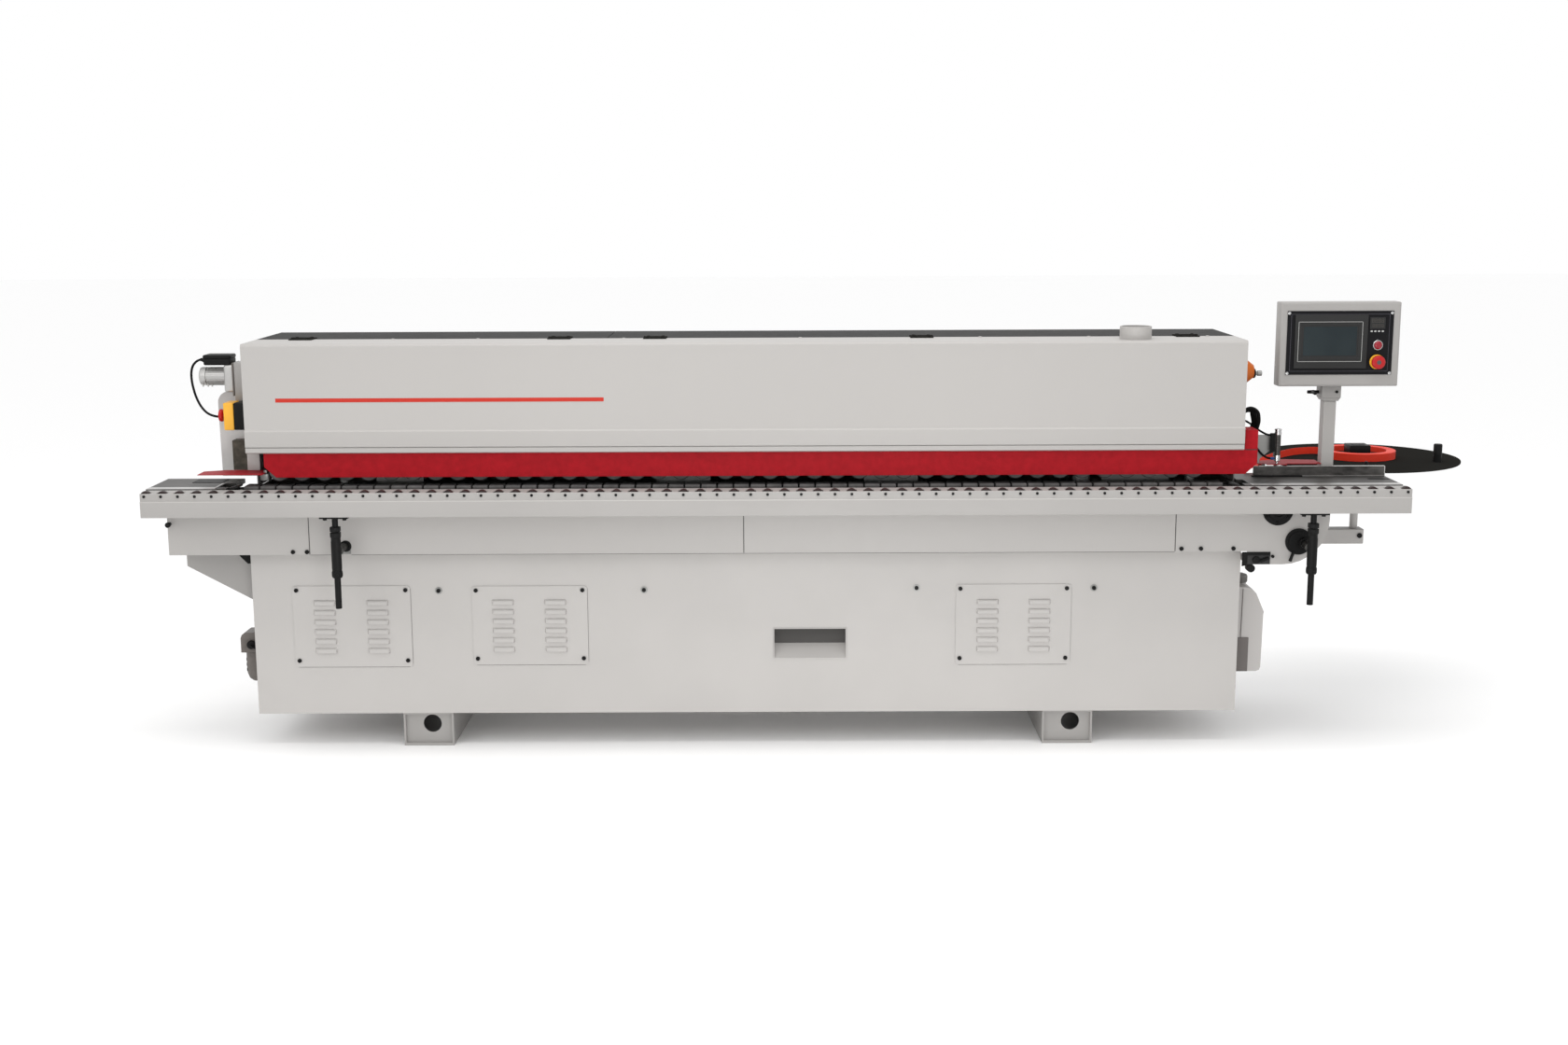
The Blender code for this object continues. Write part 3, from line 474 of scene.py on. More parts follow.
s = Shape()
for x in WHEELS:
    s.turned([(0.0035, -0.0100), (0.0125, -0.0100), (0.0143, -0.0085), (WHEEL_R, -0.0045), (WHEEL_R, 0.0045), (0.0143, 0.0085), (0.0125, 0.0100), (0.0035, 0.0100)], (x, -0.1425, WHEEL_Z), "Y", 28)
s.done("rail_support_wheels", "support_rail", "wheel", "black_plastic", ("roller_wheels",), 40)
s = Shape()
for x in WHEELS:
    s.turned([(0, 0), (0.0041, 0), (0.0041, 0.0080), (0.0035, 0.0090), (0, 0.0090)], (x, RAIL_Y0 + k + 0.0063, WHEEL_Z + 0.0005), "-Y", 16)
    s.cyl((x, -0.1300, WHEEL_Z), 0.0032, 0.044, "Y", 10)
s.done("rail_wheel_axles", "support_rail", "screw", "black_paint")

# =============================================================== feed chain pads
PAD_TOP, PAD_PITCH = 0.800, 0.0476
count = int((1.296 + 1.590) / PAD_PITCH)
first = (1.296 - 1.590) / 2 - count * PAD_PITCH / 2
s = Shape()
t = Shape()
for i in range(count):
    a = first + i * PAD_PITCH + 0.0022
    b = a + PAD_PITCH - 0.0044
    s.box(a, b, -0.0445, 0.0105, PAD_TOP - 0.0120, PAD_TOP - 0.0002, 0.0030, 2)
    t.box(a - 0.0012, b + 0.0012, -0.0466, 0.0126, PAD_TOP - 0.0190, PAD_TOP - 0.0100, 0.0012, 1)
s.done("feed_pad_faces", "frame", "rubber", "black_rubber", angle=45)
t.done("feed_pad_carriers", "frame", "rubber_dark", "black_rubber")
body = Shape()
R_OUT, R_IN, LZ = 0.060, 0.0562, 0.732
outer = arc(1.296, LZ, R_OUT, 90, -90, 20) + arc(-1.590, LZ, R_OUT, 270, 90, 20)
inner = list(reversed(arc(1.296, LZ, R_IN, 90, -90, 20) + arc(-1.590, LZ, R_IN, 270, 90, 20)))
n = len(outer)
rows = []
for y in (-0.030, -0.004):
    rows.append(([body.bm.verts.new((u, y, v)) for u, v in outer], [body.bm.verts.new((u, y, v)) for u, v in reversed(inner)]))
(o0, i0), (o1, i1) = rows
for i in range(n):
    j = (i + 1) % n
    body.bm.faces.new((o0[i], o0[j], o1[j], o1[i]))
    body.bm.faces.new((i0[i], i1[i], i1[j], i0[j]))
    body.bm.faces.new((o0[i], i0[i], i0[j], o0[j]))
    body.bm.faces.new((o1[i], o1[j], i1[j], i1[i]))
links = body
for side, x in ((1, 1.296), (-1, -1.590)):
    for q in range(5):
        a = math.radians(75 - q * 36) if side > 0 else math.radians(105 + q * 36)
        turn = Matrix.Rotation(-(a - math.pi / 2), 4, "Y")
        c = Vector((x + 0.0635 * math.cos(a), 0, LZ + 0.0635 * math.sin(a)))
        links.box(c.x - 0.017, c.x + 0.017, -0.0445, 0.0105, c.z - 0.0035, c.z + 0.0035, 0.002, 1, turn)
for i in range(count):
    a = first + i * PAD_PITCH + 0.0022
    links.box(a, a + PAD_PITCH - 0.0044, -0.0445, 0.0105, 0.6645, 0.6740, 0.002, 1)
links.done("feed_chain_links", "frame", "rubber_dark", "black_rubber", ("chain_pads",))

# =============================================================== pressure wheels
s, t = Shape(), Shape()
for i in range(42):
    x = -1.470 + i * 0.065
    for y in (-0.0275, -0.0105):
        s.turned([(0.0100, -0.0065), (0.0265, -0.0065), (0.0292, -0.0040), (0.0300, 0), (0.0292, 0.0040), (0.0265, 0.0065), (0.0100, 0.0065)], (x, y, 0.8425), "Y", 28)
    t.turned([(0, -0.0160), (0.0098, -0.0160), (0.0105, -0.0150), (0.0105, 0.0150), (0.0098, 0.0160), (0, 0.0160)], (x, -0.0190, 0.8425), "Y", 16)
    t.prism([(x - 0.011, 0.8700), (x - 0.008, 0.8380), (x + 0.008, 0.8380), (x + 0.011, 0.8700)], "Y", -0.0365, -0.0350)
s.done("pressure_wheel_tyres", "pressure_unit", "rubber", "black_rubber", ("pressure_wheels",), 40)
t.done("pressure_wheel_brackets", "pressure_unit", "zinc", "zinc_steel")

s = Shape()
GX1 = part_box("pressure_guard")[1].x - SX
GY0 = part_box("pressure_guard")[0].y - SY
s.box(1.3372, GX1 - 0.0010, GY0 - 0.0004, GY0 + 0.0004, 0.8960, 0.8984)
s.done("pressure_guard_joint", "pressure_unit", "rubber_dark", "red_paint")

# =============================================================== louvred plates
VENTS = (
    ("left", -1.459, -1.109, 0.2465, 0.4930, (-1.3643, -1.2074), 0.4503, 0.3044),
    ("middle", -0.927, -0.5845, 0.2510, 0.4910, (-0.8349, -0.6794), 0.4505, 0.3071),
    ("right", 0.5095, 0.8515, 0.2470, 0.4910, (0.6035, 0.7577), 0.4465, 0.3032),
)
screws, shade_lines = Shape(), Shape()
for tag, x0, x1, z0, z1, centres, first_top, last_top in VENTS:
    s = Shape()
    for cx in centres:
        for row in range(6):
            topz = first_top - row * (first_top - last_top) / 5
            # a pressed louvre: rounded shoulder on top, a straight drop and a lower lip, closed underneath
            half, depth, high = 0.0325, 0.0066, 0.0150
            cols, rows_n = 18, 8
            grid = []
            for r in range(rows_n + 1):
                line = []
                for c in range(cols + 1):
                    u = -1 + 2 * c / cols
                    v = r / rows_n
                    end = math.sqrt(max(0.0, 1 - min(1.0, (abs(u) - 0.82) / 0.18) ** 2)) if abs(u) > 0.82 else 1.0
                    rise = math.sqrt(max(0.0, 1 - (1 - v / 0.5) ** 2)) if v < 0.5 else 1.0
                    out = depth * rise * end
                    line.append(s.bm.verts.new((cx + u * half, -0.0022 - out, topz - v * high)))
                grid.append(line)
            back = []
            for r in (0, rows_n):
                back.append([s.bm.verts.new((cx + (-1 + 2 * c / cols) * half, -0.0012, topz - (r / rows_n) * high)) for c in range(cols + 1)])
            for r in range(rows_n):
                for c in range(cols):
                    s.bm.faces.new((grid[r][c], grid[r + 1][c], grid[r + 1][c + 1], grid[r][c + 1]))
            for c in range(cols):
                s.bm.faces.new((grid[0][c], grid[0][c + 1], back[0][c + 1], back[0][c]))
                s.bm.faces.new((grid[rows_n][c], back[1][c], back[1][c + 1], grid[rows_n][c + 1]))
                s.bm.faces.new((back[0][c], back[0][c + 1], back[1][c + 1], back[1][c]))
            s.bm.faces.new([g[0] for g in grid] + [back[1][0], back[0][0]])
            s.bm.faces.new([g[cols] for g in reversed(grid)] + [back[0][cols], back[1][cols]])
            # painted shade: a thin dark strip under each lip stands in for the shade below it
            shade_lines.box(cx - half + 0.0030, cx + half - 0.0020, -0.0026, -0.0022, topz - high - 0.0016, topz - high + 0.0004)
    s.prism([(x0, z0 + 0.008), (x0 + 0.0024, z0 + 0.0024), (x0 + 0.008, z0), (x1 - 0.008, z0), (x1 - 0.0024, z0 + 0.0024), (x1, z0 + 0.008), (x1, z1 - 0.008), (x1 - 0.0024, z1 - 0.0024), (x1 - 0.008, z1), (x0 + 0.008, z1), (x0 + 0.0024, z1 - 0.0024), (x0, z1 - 0.008)], "Y", -0.0023, -0.0003)
    # the plates take the lighter base paint, painted light
    s.done("louvred_plate_" + tag, "frame", "base", "shell_paint", ("vent_panel_" + tag,), 50)
    # painted shadow: thin dark lines along each plate's bottom and right edges stand in for the shadow the raised plate
    # casts
    shade_lines.box(x0 + 0.009, x1 - 0.009, -0.0012, -0.0002, z0 - 0.0012, z0 + 0.0001)
    shade_lines.box(x1 - 0.0002, x1 + 0.0006, -0.0010, -0.0002, z0 + 0.009, z1 - 0.009)
    for x in (x0 + 0.0125, x1 - 0.0140):
        for z in (z0 + 0.0195, z1 - 0.0125):
            hex_socket(screws, (x, -0.0023, z), 0.0062, 0.0042)
edge = Shape()
edge.prism([(1.3380, 0.5550), (1.3700, 0.5610), (1.3980, 0.5640), (1.4208, 0.5850), (1.4208, 0.5975), (1.3380, 0.5975)], "Y", -0.0621, -0.0609)
edge.done("side_shadow_bracket", "frame", "black", "black_plastic")
# the deep part of the pocket handle lies in shade
pocket = Shape()
pocket.box(-0.0300, 0.1820, 0.0345, 0.0366, 0.3060, 0.3570)
pocket.box(-0.0300, 0.1820, 0.0030, 0.0345, 0.3555, 0.3572)
pocket.done("pocket_shade", "frame", "shade", "shell_paint")
# painted shade: thin near-black strips stand in for the shade in the gaps between the cover plates and under their
# lower edges
for x in (-1.3853, -0.1178, 1.1417):
    shade_lines.box(x - 0.0011, x + 0.0011, -0.0612, -0.0500, 0.6010, 0.7100)
shade_lines.box(-1.3840, -1.2960, -0.0600, -0.0585, 0.5982, 0.5994)
shade_lines.box(-1.2640, 1.1410, -0.0600, -0.0585, 0.5982, 0.5994)
shade_lines.done("painted_shade_lines", "frame", "gap_shade", "shell_paint")

# =============================================================== screws and bolts of the cabinet and covers
for x, z in ((-1.025, 0.478), (-0.416, 0.478), (0.392, 0.481), (0.918, 0.479)):
    hex_socket(screws, (x, -0.0016, z), 0.0062, 0.0060)
for x, z in ((-1.4340, 0.6080), (-1.3930, 0.6080), (1.1600, 0.6080), (1.2170, 0.6080), (1.3120, 0.6080)):
    hex_socket(screws, (x, -0.0605, z), 0.0062, 0.0045)
screws.rod((-1.7880, -0.0600, 0.6930), (-1.7880, -0.0850, 0.6930), 0.0045, 14)
hex_socket(screws, (-1.7880, -0.0770, 0.6930), 0.0078, 0.0080)
screws.done("cabinet_screws", "frame", "screw", "black_paint", angle=40)
rings = Shape()
for x, z in ((-1.025, 0.478), (-0.416, 0.478), (0.392, 0.481), (0.918, 0.479)):
    washer(rings, (x, 0.0, z), 0.0105, 0.0018)
rings.done("cabinet_washers", "frame", "zinc", "zinc_steel")

# =============================================================== hood
HX0, HX1, HY, HBACK, HTOP, HFOLD, HLIP, HBOT = -1.5575, 1.3330, -0.055, 0.400, 1.2140, 0.9660, 0.9160, 0.8965
LID_Y, LID_SPLIT, PORT_X, PORT_Y, PORT_R = 0.1160, -0.5210, 1.025, 0.030, 0.046
R, T = 0.0085, 0.0025
s = Shape()
outside = [
    (HY + 0.0065, HBOT), (HY + 0.0050, HBOT), (HY - 0.0030, HBOT + 0.0035), (HY - 0.0030, HLIP - 0.0026), (HY + 0.0005, HLIP - 0.0020), (HY + 0.0005, HLIP - 0.0002), (HY - 0.0040, HLIP), (HY - 0.0045, HLIP + 0.0006), (HY - 0.0045, HFOLD - 0.0052), (HY - 0.0040, HFOLD - 0.0042), (HY - 0.0004, HFOLD - 0.0010), (HY, HFOLD + 0.0002),
] + arc(HY + R, HTOP - R, R, 180, 90, 10) + [(LID_Y - 0.0015, HTOP)]
inside = [(LID_Y - 0.0015, HTOP - T)] + arc(HY + R, HTOP - R, R - T, 90, 180, 10) + [
    (HY + T, HFOLD - 0.001), (HY - 0.002, HFOLD - 0.005), (HY - 0.002, HLIP + 0.003), (HY + 0.004, HLIP + 0.001), (HY + 0.004, HLIP - 0.004), (HY + 0.0065, HLIP - 0.006),
]
s.prism(outside + inside, "X", HX0, HX1)
hood = s.done("hood_front_folded", "frame", "shell", "shell_paint", ("hood_front_cover",), 24)
cutter_shape = bmesh.new()
bmesh.ops.create_cone(cutter_shape, cap_ends=True, segments=48, radius1=PORT_R - 0.004, radius2=PORT_R - 0.004, depth=0.05, matrix=Matrix.Translation(P(PORT_X, PORT_Y, HTOP)))
cm = bpy.data.meshes.new("port_cut")
cutter_shape.to_mesh(cm)
cutter_shape.free()
co = bpy.data.objects.new("port_cut", cm)
bpy.context.scene.collection.objects.link(co)
mod = hood.modifiers.new("port", "BOOLEAN")
mod.operation, mod.solver, mod.object = "DIFFERENCE", "EXACT", co
bpy.context.view_layer.update()
done = bpy.data.meshes.new_from_object(hood.evaluated_get(bpy.context.evaluated_depsgraph_get()))
hood.modifiers.clear()
hood.data = done
bpy.data.objects.remove(co)

s = Shape()
s.turned([(PORT_R - 0.0040, 0), (PORT_R + 0.0000, 0), (PORT_R, 0.0300), (PORT_R - 0.0004, 0.0304), (PORT_R - 0.0004, 0.0330), (PORT_R, 0.0334), (PORT_R - 0.0002, 0.0354), (PORT_R - 0.0010, 0.0360), (PORT_R - 0.0036, 0.0360), (PORT_R - 0.0040, 0.0356)], (PORT_X, PORT_Y, HTOP + 0.0003), "Z", 64)
s.done("dust_spigot", "frame", "shell_smooth", "shell_paint", ("dust_port",), 40)


def lid(name, node, body, x0, x1, grips):
    r = 0.010
    back = HBACK + 0.003
    s = Shape()
    out = [(LID_Y, HTOP - 0.0006), (LID_Y + 0.0006, HTOP)] + arc(back - r, HTOP - r, r, 90, 0, 10) + [(back, 0.960), (back - T, 0.960)]
    inn = arc(back - r, HTOP - r, r - T, 0, 90, 10) + [(LID_Y, HTOP - T)]
    s.prism(out + inn, "X", x0, x1)
    s.done(name, body, "lid", "dark_paint", (node,), 24)
    g = Shape()
    for x in grips:
        # a bent-bar pull just inside the skirt's outline would stand outside the box, so each grip is a thin black
        # plate set into the skirt
        g.box(x - 0.060, x + 0.060, back - 0.0016, back - 0.0002, 1.020, 1.060, 0.0006, 1)
    g.done(name + "_grips", body, "black", "dark_paint")


lid("hood_lid_left_folded", "hood_lid_left", "lid_left", HX0, LID_SPLIT - 0.001, (-1.25, -0.80))
lid("hood_lid_right_folded", "hood_lid_right", "lid_right", LID_SPLIT + 0.001, HX1, (-0.20, 0.40, 1.00))

# black leaf hinges across the strip and the lids, one knuckle line at their border
for i, (x, body) in enumerate(((-1.420, "lid_left"), (-0.660, "lid_left"), (-0.378, "lid_right"), (0.408, "lid_right"), (1.190, "lid_right"))):
    fixed, moving = Shape(), Shape()
    fixed.box(x - 0.034, x + 0.034, LID_Y - 0.0360, LID_Y - 0.0050, HTOP + 0.0002, HTOP + 0.0030, 0.0010, 2)
    moving.box(x - 0.034, x + 0.034, LID_Y + 0.0040, LID_Y + 0.0350, HTOP + 0.0002, HTOP + 0.0030, 0.0010, 2)
    for a, b, part in ((-0.034, -0.012, fixed), (-0.0110, 0.0110, moving), (0.012, 0.034, fixed)):
        part.cyl((x + (a + b) / 2, LID_Y - 0.0005, HTOP + 0.0015), 0.0046, b - a, "X", 20, bevel=0.0006, bseg=1)
    fixed.cyl((x, LID_Y - 0.0005, HTOP + 0.0015), 0.0020, 0.070, "X", 12)
    for dx in (-0.022, 0.022):
        hex_socket(fixed, (x + dx, LID_Y - 0.0210, HTOP + 0.0028), 0.0048, 0.0030, "Z")
        hex_socket(moving, (x + dx, LID_Y + 0.0200, HTOP + 0.0028), 0.0048, 0.0030, "Z")
    fixed.done(f"lid_hinge_fixed_{i + 1}", "frame", "disc", "black_plastic", angle=40)
    moving.done(f"lid_hinge_leaf_{i + 1}", body, "disc", "black_plastic", angle=40)

s = Shape()
for x in (-1.150, -0.900, -0.470, 0.050, 0.580, 0.900, 1.250):
    s.turned([(0, 0), (0.0060, 0), (0.0052, 0.0020), (0.0030, 0.0026), (0, 0.0026)], (x, 0.098, HTOP), "Z", 18)
s.done("hood_strip_screws", "frame", "shell_smooth", "shell_paint", angle=40)

s = Shape()
s.box(-1.4640, -0.5180, HY - 0.00035, HY - 0.00002, 1.0460, 1.0575)
s.done("hood_stripe", "frame", "stripe", "red_paint")

# =============================================================== control panel
COLX, COLY = 1.625, 0.131
PX, PY, PZ, PW, PD, PH = 1.627, 0.078, 1.193, 0.350, 0.055, 0.246
FACE = PY - PD / 2
s = Shape()
s.box(PX - PW / 2, PX + PW / 2, FACE + 0.0008, PY + PD / 2, PZ - PH / 2, PZ + PH / 2, 0.0035, 3)
s.box(PX - PW / 2 + 0.0040, PX + PW / 2 - 0.0040, FACE, FACE + 0.0100, PZ - PH / 2 + 0.0040, PZ + PH / 2 - 0.0040, 0.0008, 1)
s.box(COLX - 0.0290, COLX + 0.0290, COLY - 0.0290, COLY + 0.0290, 1.0290, 1.0760, 0.0030, 2)
s.prism([(COLX - 0.0290, 1.0310), (COLX - 0.0215, 1.0206), (COLX + 0.0215, 1.0206), (COLX + 0.0290, 1.0310)], "Y", COLY - 0.0260, COLY + 0.0260)
s.box(COLX - 0.0480, COLX + 0.0480, COLY - 0.030, COLY + 0.029, 1.0660, 1.0720, 0.0012, 1)
s.done("panel_enclosure", "panel_head", "panel_shell", "shell_paint", ("panel_box",), 30)

s = Shape()
for dx in (-0.120, 0.120):
    s.box(PX + dx - 0.006, PX + dx + 0.006, PY + PD / 2 - 0.0010, PY + PD / 2 + 0.0000, PZ - 0.100, PZ + 0.100, 0.0004, 1)
s.done("panel_rear_seams", "panel_head", "black", "black_plastic")

s = Shape()
PLX0, PLX1, PLZ0, PLZ1 = 1.4705, 1.7805, PZ - 0.0885, PZ + 0.0975
s.box(PLX0, PLX1, FACE - 0.0022, FACE - 0.0003, PLZ0, PLZ1, 0.0005, 1)
s.done("panel_plate_printed", "panel_head", "plate", "black_paint", ("panel_plate",))

s = Shape()
for x in (PLX0 + 0.0045, PLX1 - 0.0060):
    for z in (PLZ0 + 0.0045, PLZ1 - 0.0060):
        s.turned([(0, 0), (0.0046, 0), (0.0042, 0.0022), (0.0026, 0.0030), (0.0012, 0.0030), (0.0010, 0.0014), (0, 0.0014)], (x, FACE - 0.0022, z), "-Y", 18)
s.turned([(0.0116, 0), (0.0146, 0), (0.0146, 0.0026), (0.0138, 0.0034), (0.0124, 0.0034), (0.0116, 0.0026)], (1.7370, FACE - 0.0022, 1.1905), "-Y", 36)
s.done("panel_bright_rings", "panel_head", "chrome", "bright_steel", angle=40)

s = Shape()
s.turned([(0, 0), (0.0117, 0), (0.0117, 0.0034), (0.0104, 0.0062), (0.0060, 0.0080), (0, 0.0086)], (1.7370, FACE - 0.0022, 1.1905), "-Y", 36)
s.done("panel_red_lamp", "panel_head", "red_lamp", "red_plastic", angle=60)

SCX0, SCX1, SCZ0, SCZ1 = 1.4925, 1.7055, 1.1230, 1.2800
s = Shape()
s.box(SCX0, SCX1, FACE - 0.0068, FACE - 0.0026, SCZ0, SCZ1, 0.0022, 3)
# the sunken rim round the glass
gx0, gx1, gz0, gz1 = 1.5180, 1.6735, 1.1605, 1.2450
for a in ((gx0 - 0.0120, gx1 + 0.0120, gz0 - 0.0100, gz0 - 0.0040), (gx0 - 0.0120, gx1 + 0.0120, gz1 + 0.0040, gz1 + 0.0100), (gx0 - 0.0120, gx0 - 0.0040, gz0 - 0.0040, gz1 + 0.0040), (gx1 + 0.0040, gx1 + 0.0120, gz0 - 0.0040, gz1 + 0.0040)):
    s.box(a[0], a[1], FACE - 0.0078, FACE - 0.0060, a[2], a[3], 0.0005, 1)
s.done("touch_panel_bezel", "panel_head", "bezel", "screen_plastic", ("touch_screen",))
s = Shape()
s.box(gx0, gx1, FACE - 0.0074, FACE - 0.0062, gz0, gz1, 0.0003, 1)
s.done("touch_panel_glass", "panel_head", "screen", "screen_plastic")
s = Shape()
fx0, fx1, fz0, fz1, lw = 1.5025, 1.6895, 1.1430, 1.2595, 0.0011
for a in ((fx0, fx1, fz0, fz0 + lw), (fx0, fx1, fz1 - lw, fz1), (fx0, fx0 + lw, fz0, fz1), (fx1 - lw, fx1, fz0, fz1)):
    s.box(a[0], a[1], FACE - 0.0080, FACE - 0.0066, a[2], a[3])
s.done("touch_panel_line", "panel_head", "print", "screen_plastic")

s = Shape()
s.box(1.7110, 1.7560, FACE - 0.0050, FACE - 0.0022, 1.2380, 1.2720, 0.0012, 2)
s.done("temperature_unit", "panel_head", "bezel", "screen_plastic")
s = Shape()


def digit(shape, x, z, w, h, t=0.0011):
    y0, y1 = FACE - 0.0054, FACE - 0.0048
    for a in ((x, x + w, z, z + t), (x, x + w, z + h / 2 - t / 2, z + h / 2 + t / 2), (x, x + w, z + h - t, z + h)):
        shape.box(a[0] + t * 0.6, a[1] - t * 0.6, y0, y1, a[2], a[3])
    for xx in (x, x + w - t):
        for zz in (z, z + h / 2):
            shape.box(xx, xx + t, y0, y1, zz + t * 0.6, zz + h / 2 - t * 0.4)


for i in range(4):
    digit(s, 1.7155 + i * 0.0095, 1.2560, 0.0068, 0.0115)
    digit(s, 1.7185 + i * 0.0085, 1.2425, 0.0058, 0.0095, 0.0009)
s.done("temperature_digits", "panel_head", "digits", "screen_plastic")
s = Shape()
for i in range(4):
    s.box(1.7135 + i * 0.0108, 1.7200 + i * 0.0108, FACE - 0.0046, FACE - 0.0022, 1.2290, 1.2335, 0.0008, 1)
s.done("temperature_keys", "panel_head", "print", "screen_plastic")

s = Shape()
s.turned([(0.0125, 0.0070), (0.0125, 0.0004), (0.0195, 0.0004), (0.0213, 0.0022), (0.0213, 0.0070), (0.0200, 0.0084), (0.0140, 0.0084)], (1.7355, FACE - 0.0022, 1.1420), "-Y", 40)
s.done("stop_collar", "panel_head", "yellow", "yellow_plastic", angle=45)
s = Shape()
s.turned([(0, -0.0055), (0.0108, -0.0055), (0.0108, 0.0000), (0.0150, 0.0004), (0.0188, 0.0020), (0.0200, 0.0048), (0.0197, 0.0078), (0.0180, 0.0106), (0.0140, 0.0120), (0.0080, 0.0119), (0, 0.0116)], (1.7355, FACE - 0.0164, 1.1420), "-Y", 48)
s.done("panel_stop_mushroom", "panel_stop_button", "red_plastic", "red_plastic", ("panel_estop_button",), 50)
s = Shape()
s.turned([(0, 0), (0.0066, 0), (0.0064, 0.0006), (0, 0.0008)], (1.7355, FACE - 0.02795, 1.1420), "-Y", 24)
s.done("panel_stop_marks", "panel_stop_button", "zinc_grey", "red_plastic")

s = Shape()
s.rod((COLX - 0.0300, COLY, 1.0450), (COLX - 0.0440, COLY, 1.0450), 0.0052, 16)
s.rod((COLX - 0.0430, COLY, 1.0450), (COLX - 0.0640, COLY, 1.0450), 0.0060, 16, 0.0048, 0.0010)
s.rod((COLX - 0.0520, COLY, 1.0450), (COLX - 0.0520, COLY - 0.0430, 1.0450), 0.0040, 16, 0.0048, 0.0010)
s.done("panel_clamp_lever", "panel_lever", "black", "black_plastic", ("clamp_lever",), 45)
s = Shape()
for y in (COLY - 0.0295,):
    hex_socket(s, (COLX + 0.0150, y, 1.0480), 0.0042, 0.0034)
s.done("panel_socket_screws", "panel_head", "screw", "black_paint", angle=40)

s = Shape()
px0, px1, pz0, pz1 = PLX0 + 0.0110, PLX1 - 0.0115, PLZ0 + 0.0100, PLZ1 - 0.0090
for a in ((px0, px1, pz0, pz0 + 0.0008), (px0, px1, pz1 - 0.0008, pz1), (px0, px0 + 0.0008, pz0, pz1), (px1 - 0.0008, px1, pz0, pz1)):
    s.box(a[0], a[1], FACE - 0.0024, FACE - 0.0018, a[2], a[3])
s.done("panel_border_line", "panel_head", "print_dim", "black_paint")

# =============================================================== rail struts with their guide tubes
BACK_END = 0.300
for tag, sx, tx in (("left", -1.2880, -1.2820), ("right", 1.5195, 1.5135)):
    y = -0.1400
    s = Shape()
    s.box(sx - 0.041, sx + 0.041, y - 0.018, y + 0.018, 0.7225, 0.7276, 0.0008, 1)
    s.cyl((sx, y, 0.7085), 0.0088, 0.0340, "Z", 24)
    s.cyl((sx, y, 0.6900), 0.0165, 0.0136, "Z", 6, bevel=0.0009)
    s.cyl((sx, y, 0.6740), 0.0165, 0.0136, "Z", 6, bevel=0.0009)
    s.turned([(0, 0.5600), (0.0128, 0.5600), (0.0145, 0.5760), (0.0145, 0.6520), (0.0136, 0.6570), (0.0136, 0.6640), (0.0150, 0.6672), (0, 0.6672)], (sx, y, 0), "Z", 32)
    s.turned([(0, 0.5480), (0.0132, 0.5480), (0.0157, 0.5530), (0.0157, 0.5640), (0.0140, 0.5690), (0, 0.5690)], (sx, y, 0), "Z", 32)
    s.turned([(0, 0.4570), (0.0086, 0.4570), (0.0092, 0.4580), (0.0092, 0.5500), (0, 0.5500)], (sx, y, 0), "Z", 28)
    for dx in (-0.0285, 0.0280):
        s.cyl((sx + dx, y, 0.7192), 0.0062, 0.0066, "Z", 6, bevel=0.0006)
    s.done("strut_" + tag + "_post", "support_rail", "black_paint", "black_paint", ("strut_" + tag,), 40)
    t = Shape()
    t.cyl((tx, (y + 0.012 + BACK_END) / 2, 0.6250), 0.0100, BACK_END - y - 0.012, "Y", 32, bevel=0.0008)
    t.cyl((tx, y + 0.0120, 0.6250), 0.0128, 0.0120, "Y", 28, bevel=0.0008)
    t.done("strut_" + tag + "_tube", "support_rail", "dark_rod", "black_paint", angle=40)
    b = Shape()
    b.turned([(0, 0), (0.0030, 0), (0.0028, 0.0016), (0, 0.0020)], (sx + 0.0040, y - 0.0152, 0.5585), "-Y", 14)
    b.done("strut_" + tag + "_pin", "support_rail", "screw", "black_paint")


def ring(shape, co, ro, ci, ri, y0, y1, n=48):
    rows = []
    for y in (y0, y1):
        for (cx, cz), r in ((co, ro), (ci, ri)):
            rows.append([shape.bm.verts.new((cx + r * math.cos(2 * math.pi * i / n), y, cz + r * math.sin(2 * math.pi * i / n))) for i in range(n)])
    a, b, c, d = rows
    for i in range(n):
        j = (i + 1) % n
        shape.bm.faces.new((a[i], a[j], b[j], b[i]))
        shape.bm.faces.new((c[i], d[i], d[j], c[j]))
        shape.bm.faces.new((a[i], c[i], c[j], a[j]))
        shape.bm.faces.new((b[i], b[j], d[j], d[i]))


# clamp flange of the right guide tube, with its lever, and the idler's bearing housing
COVER_Y = -0.0605
s = Shape()
FCX, FCZ = 1.5005, 0.6285
ring(s, (FCX, FCZ), 0.0385, (1.5135, 0.6250), 0.0112, COVER_Y - 0.0070, COVER_Y - 0.0003)
ring(s, (FCX, FCZ), 0.0300, (1.5135, 0.6250), 0.0112, COVER_Y - 0.0100, COVER_Y - 0.0060)
ring(s, (1.5135, 0.6250), 0.0165, (1.5135, 0.6250), 0.0112, COVER_Y - 0.0240, COVER_Y - 0.0095)
s.rod((1.4860, COVER_Y - 0.0080, 0.5990), (1.4765, COVER_Y - 0.0080, 0.5705), 0.0042, 16, 0.0050, 0.0010)
s.done("tube_clamp_flange", "frame", "black", "black_plastic", angle=35)
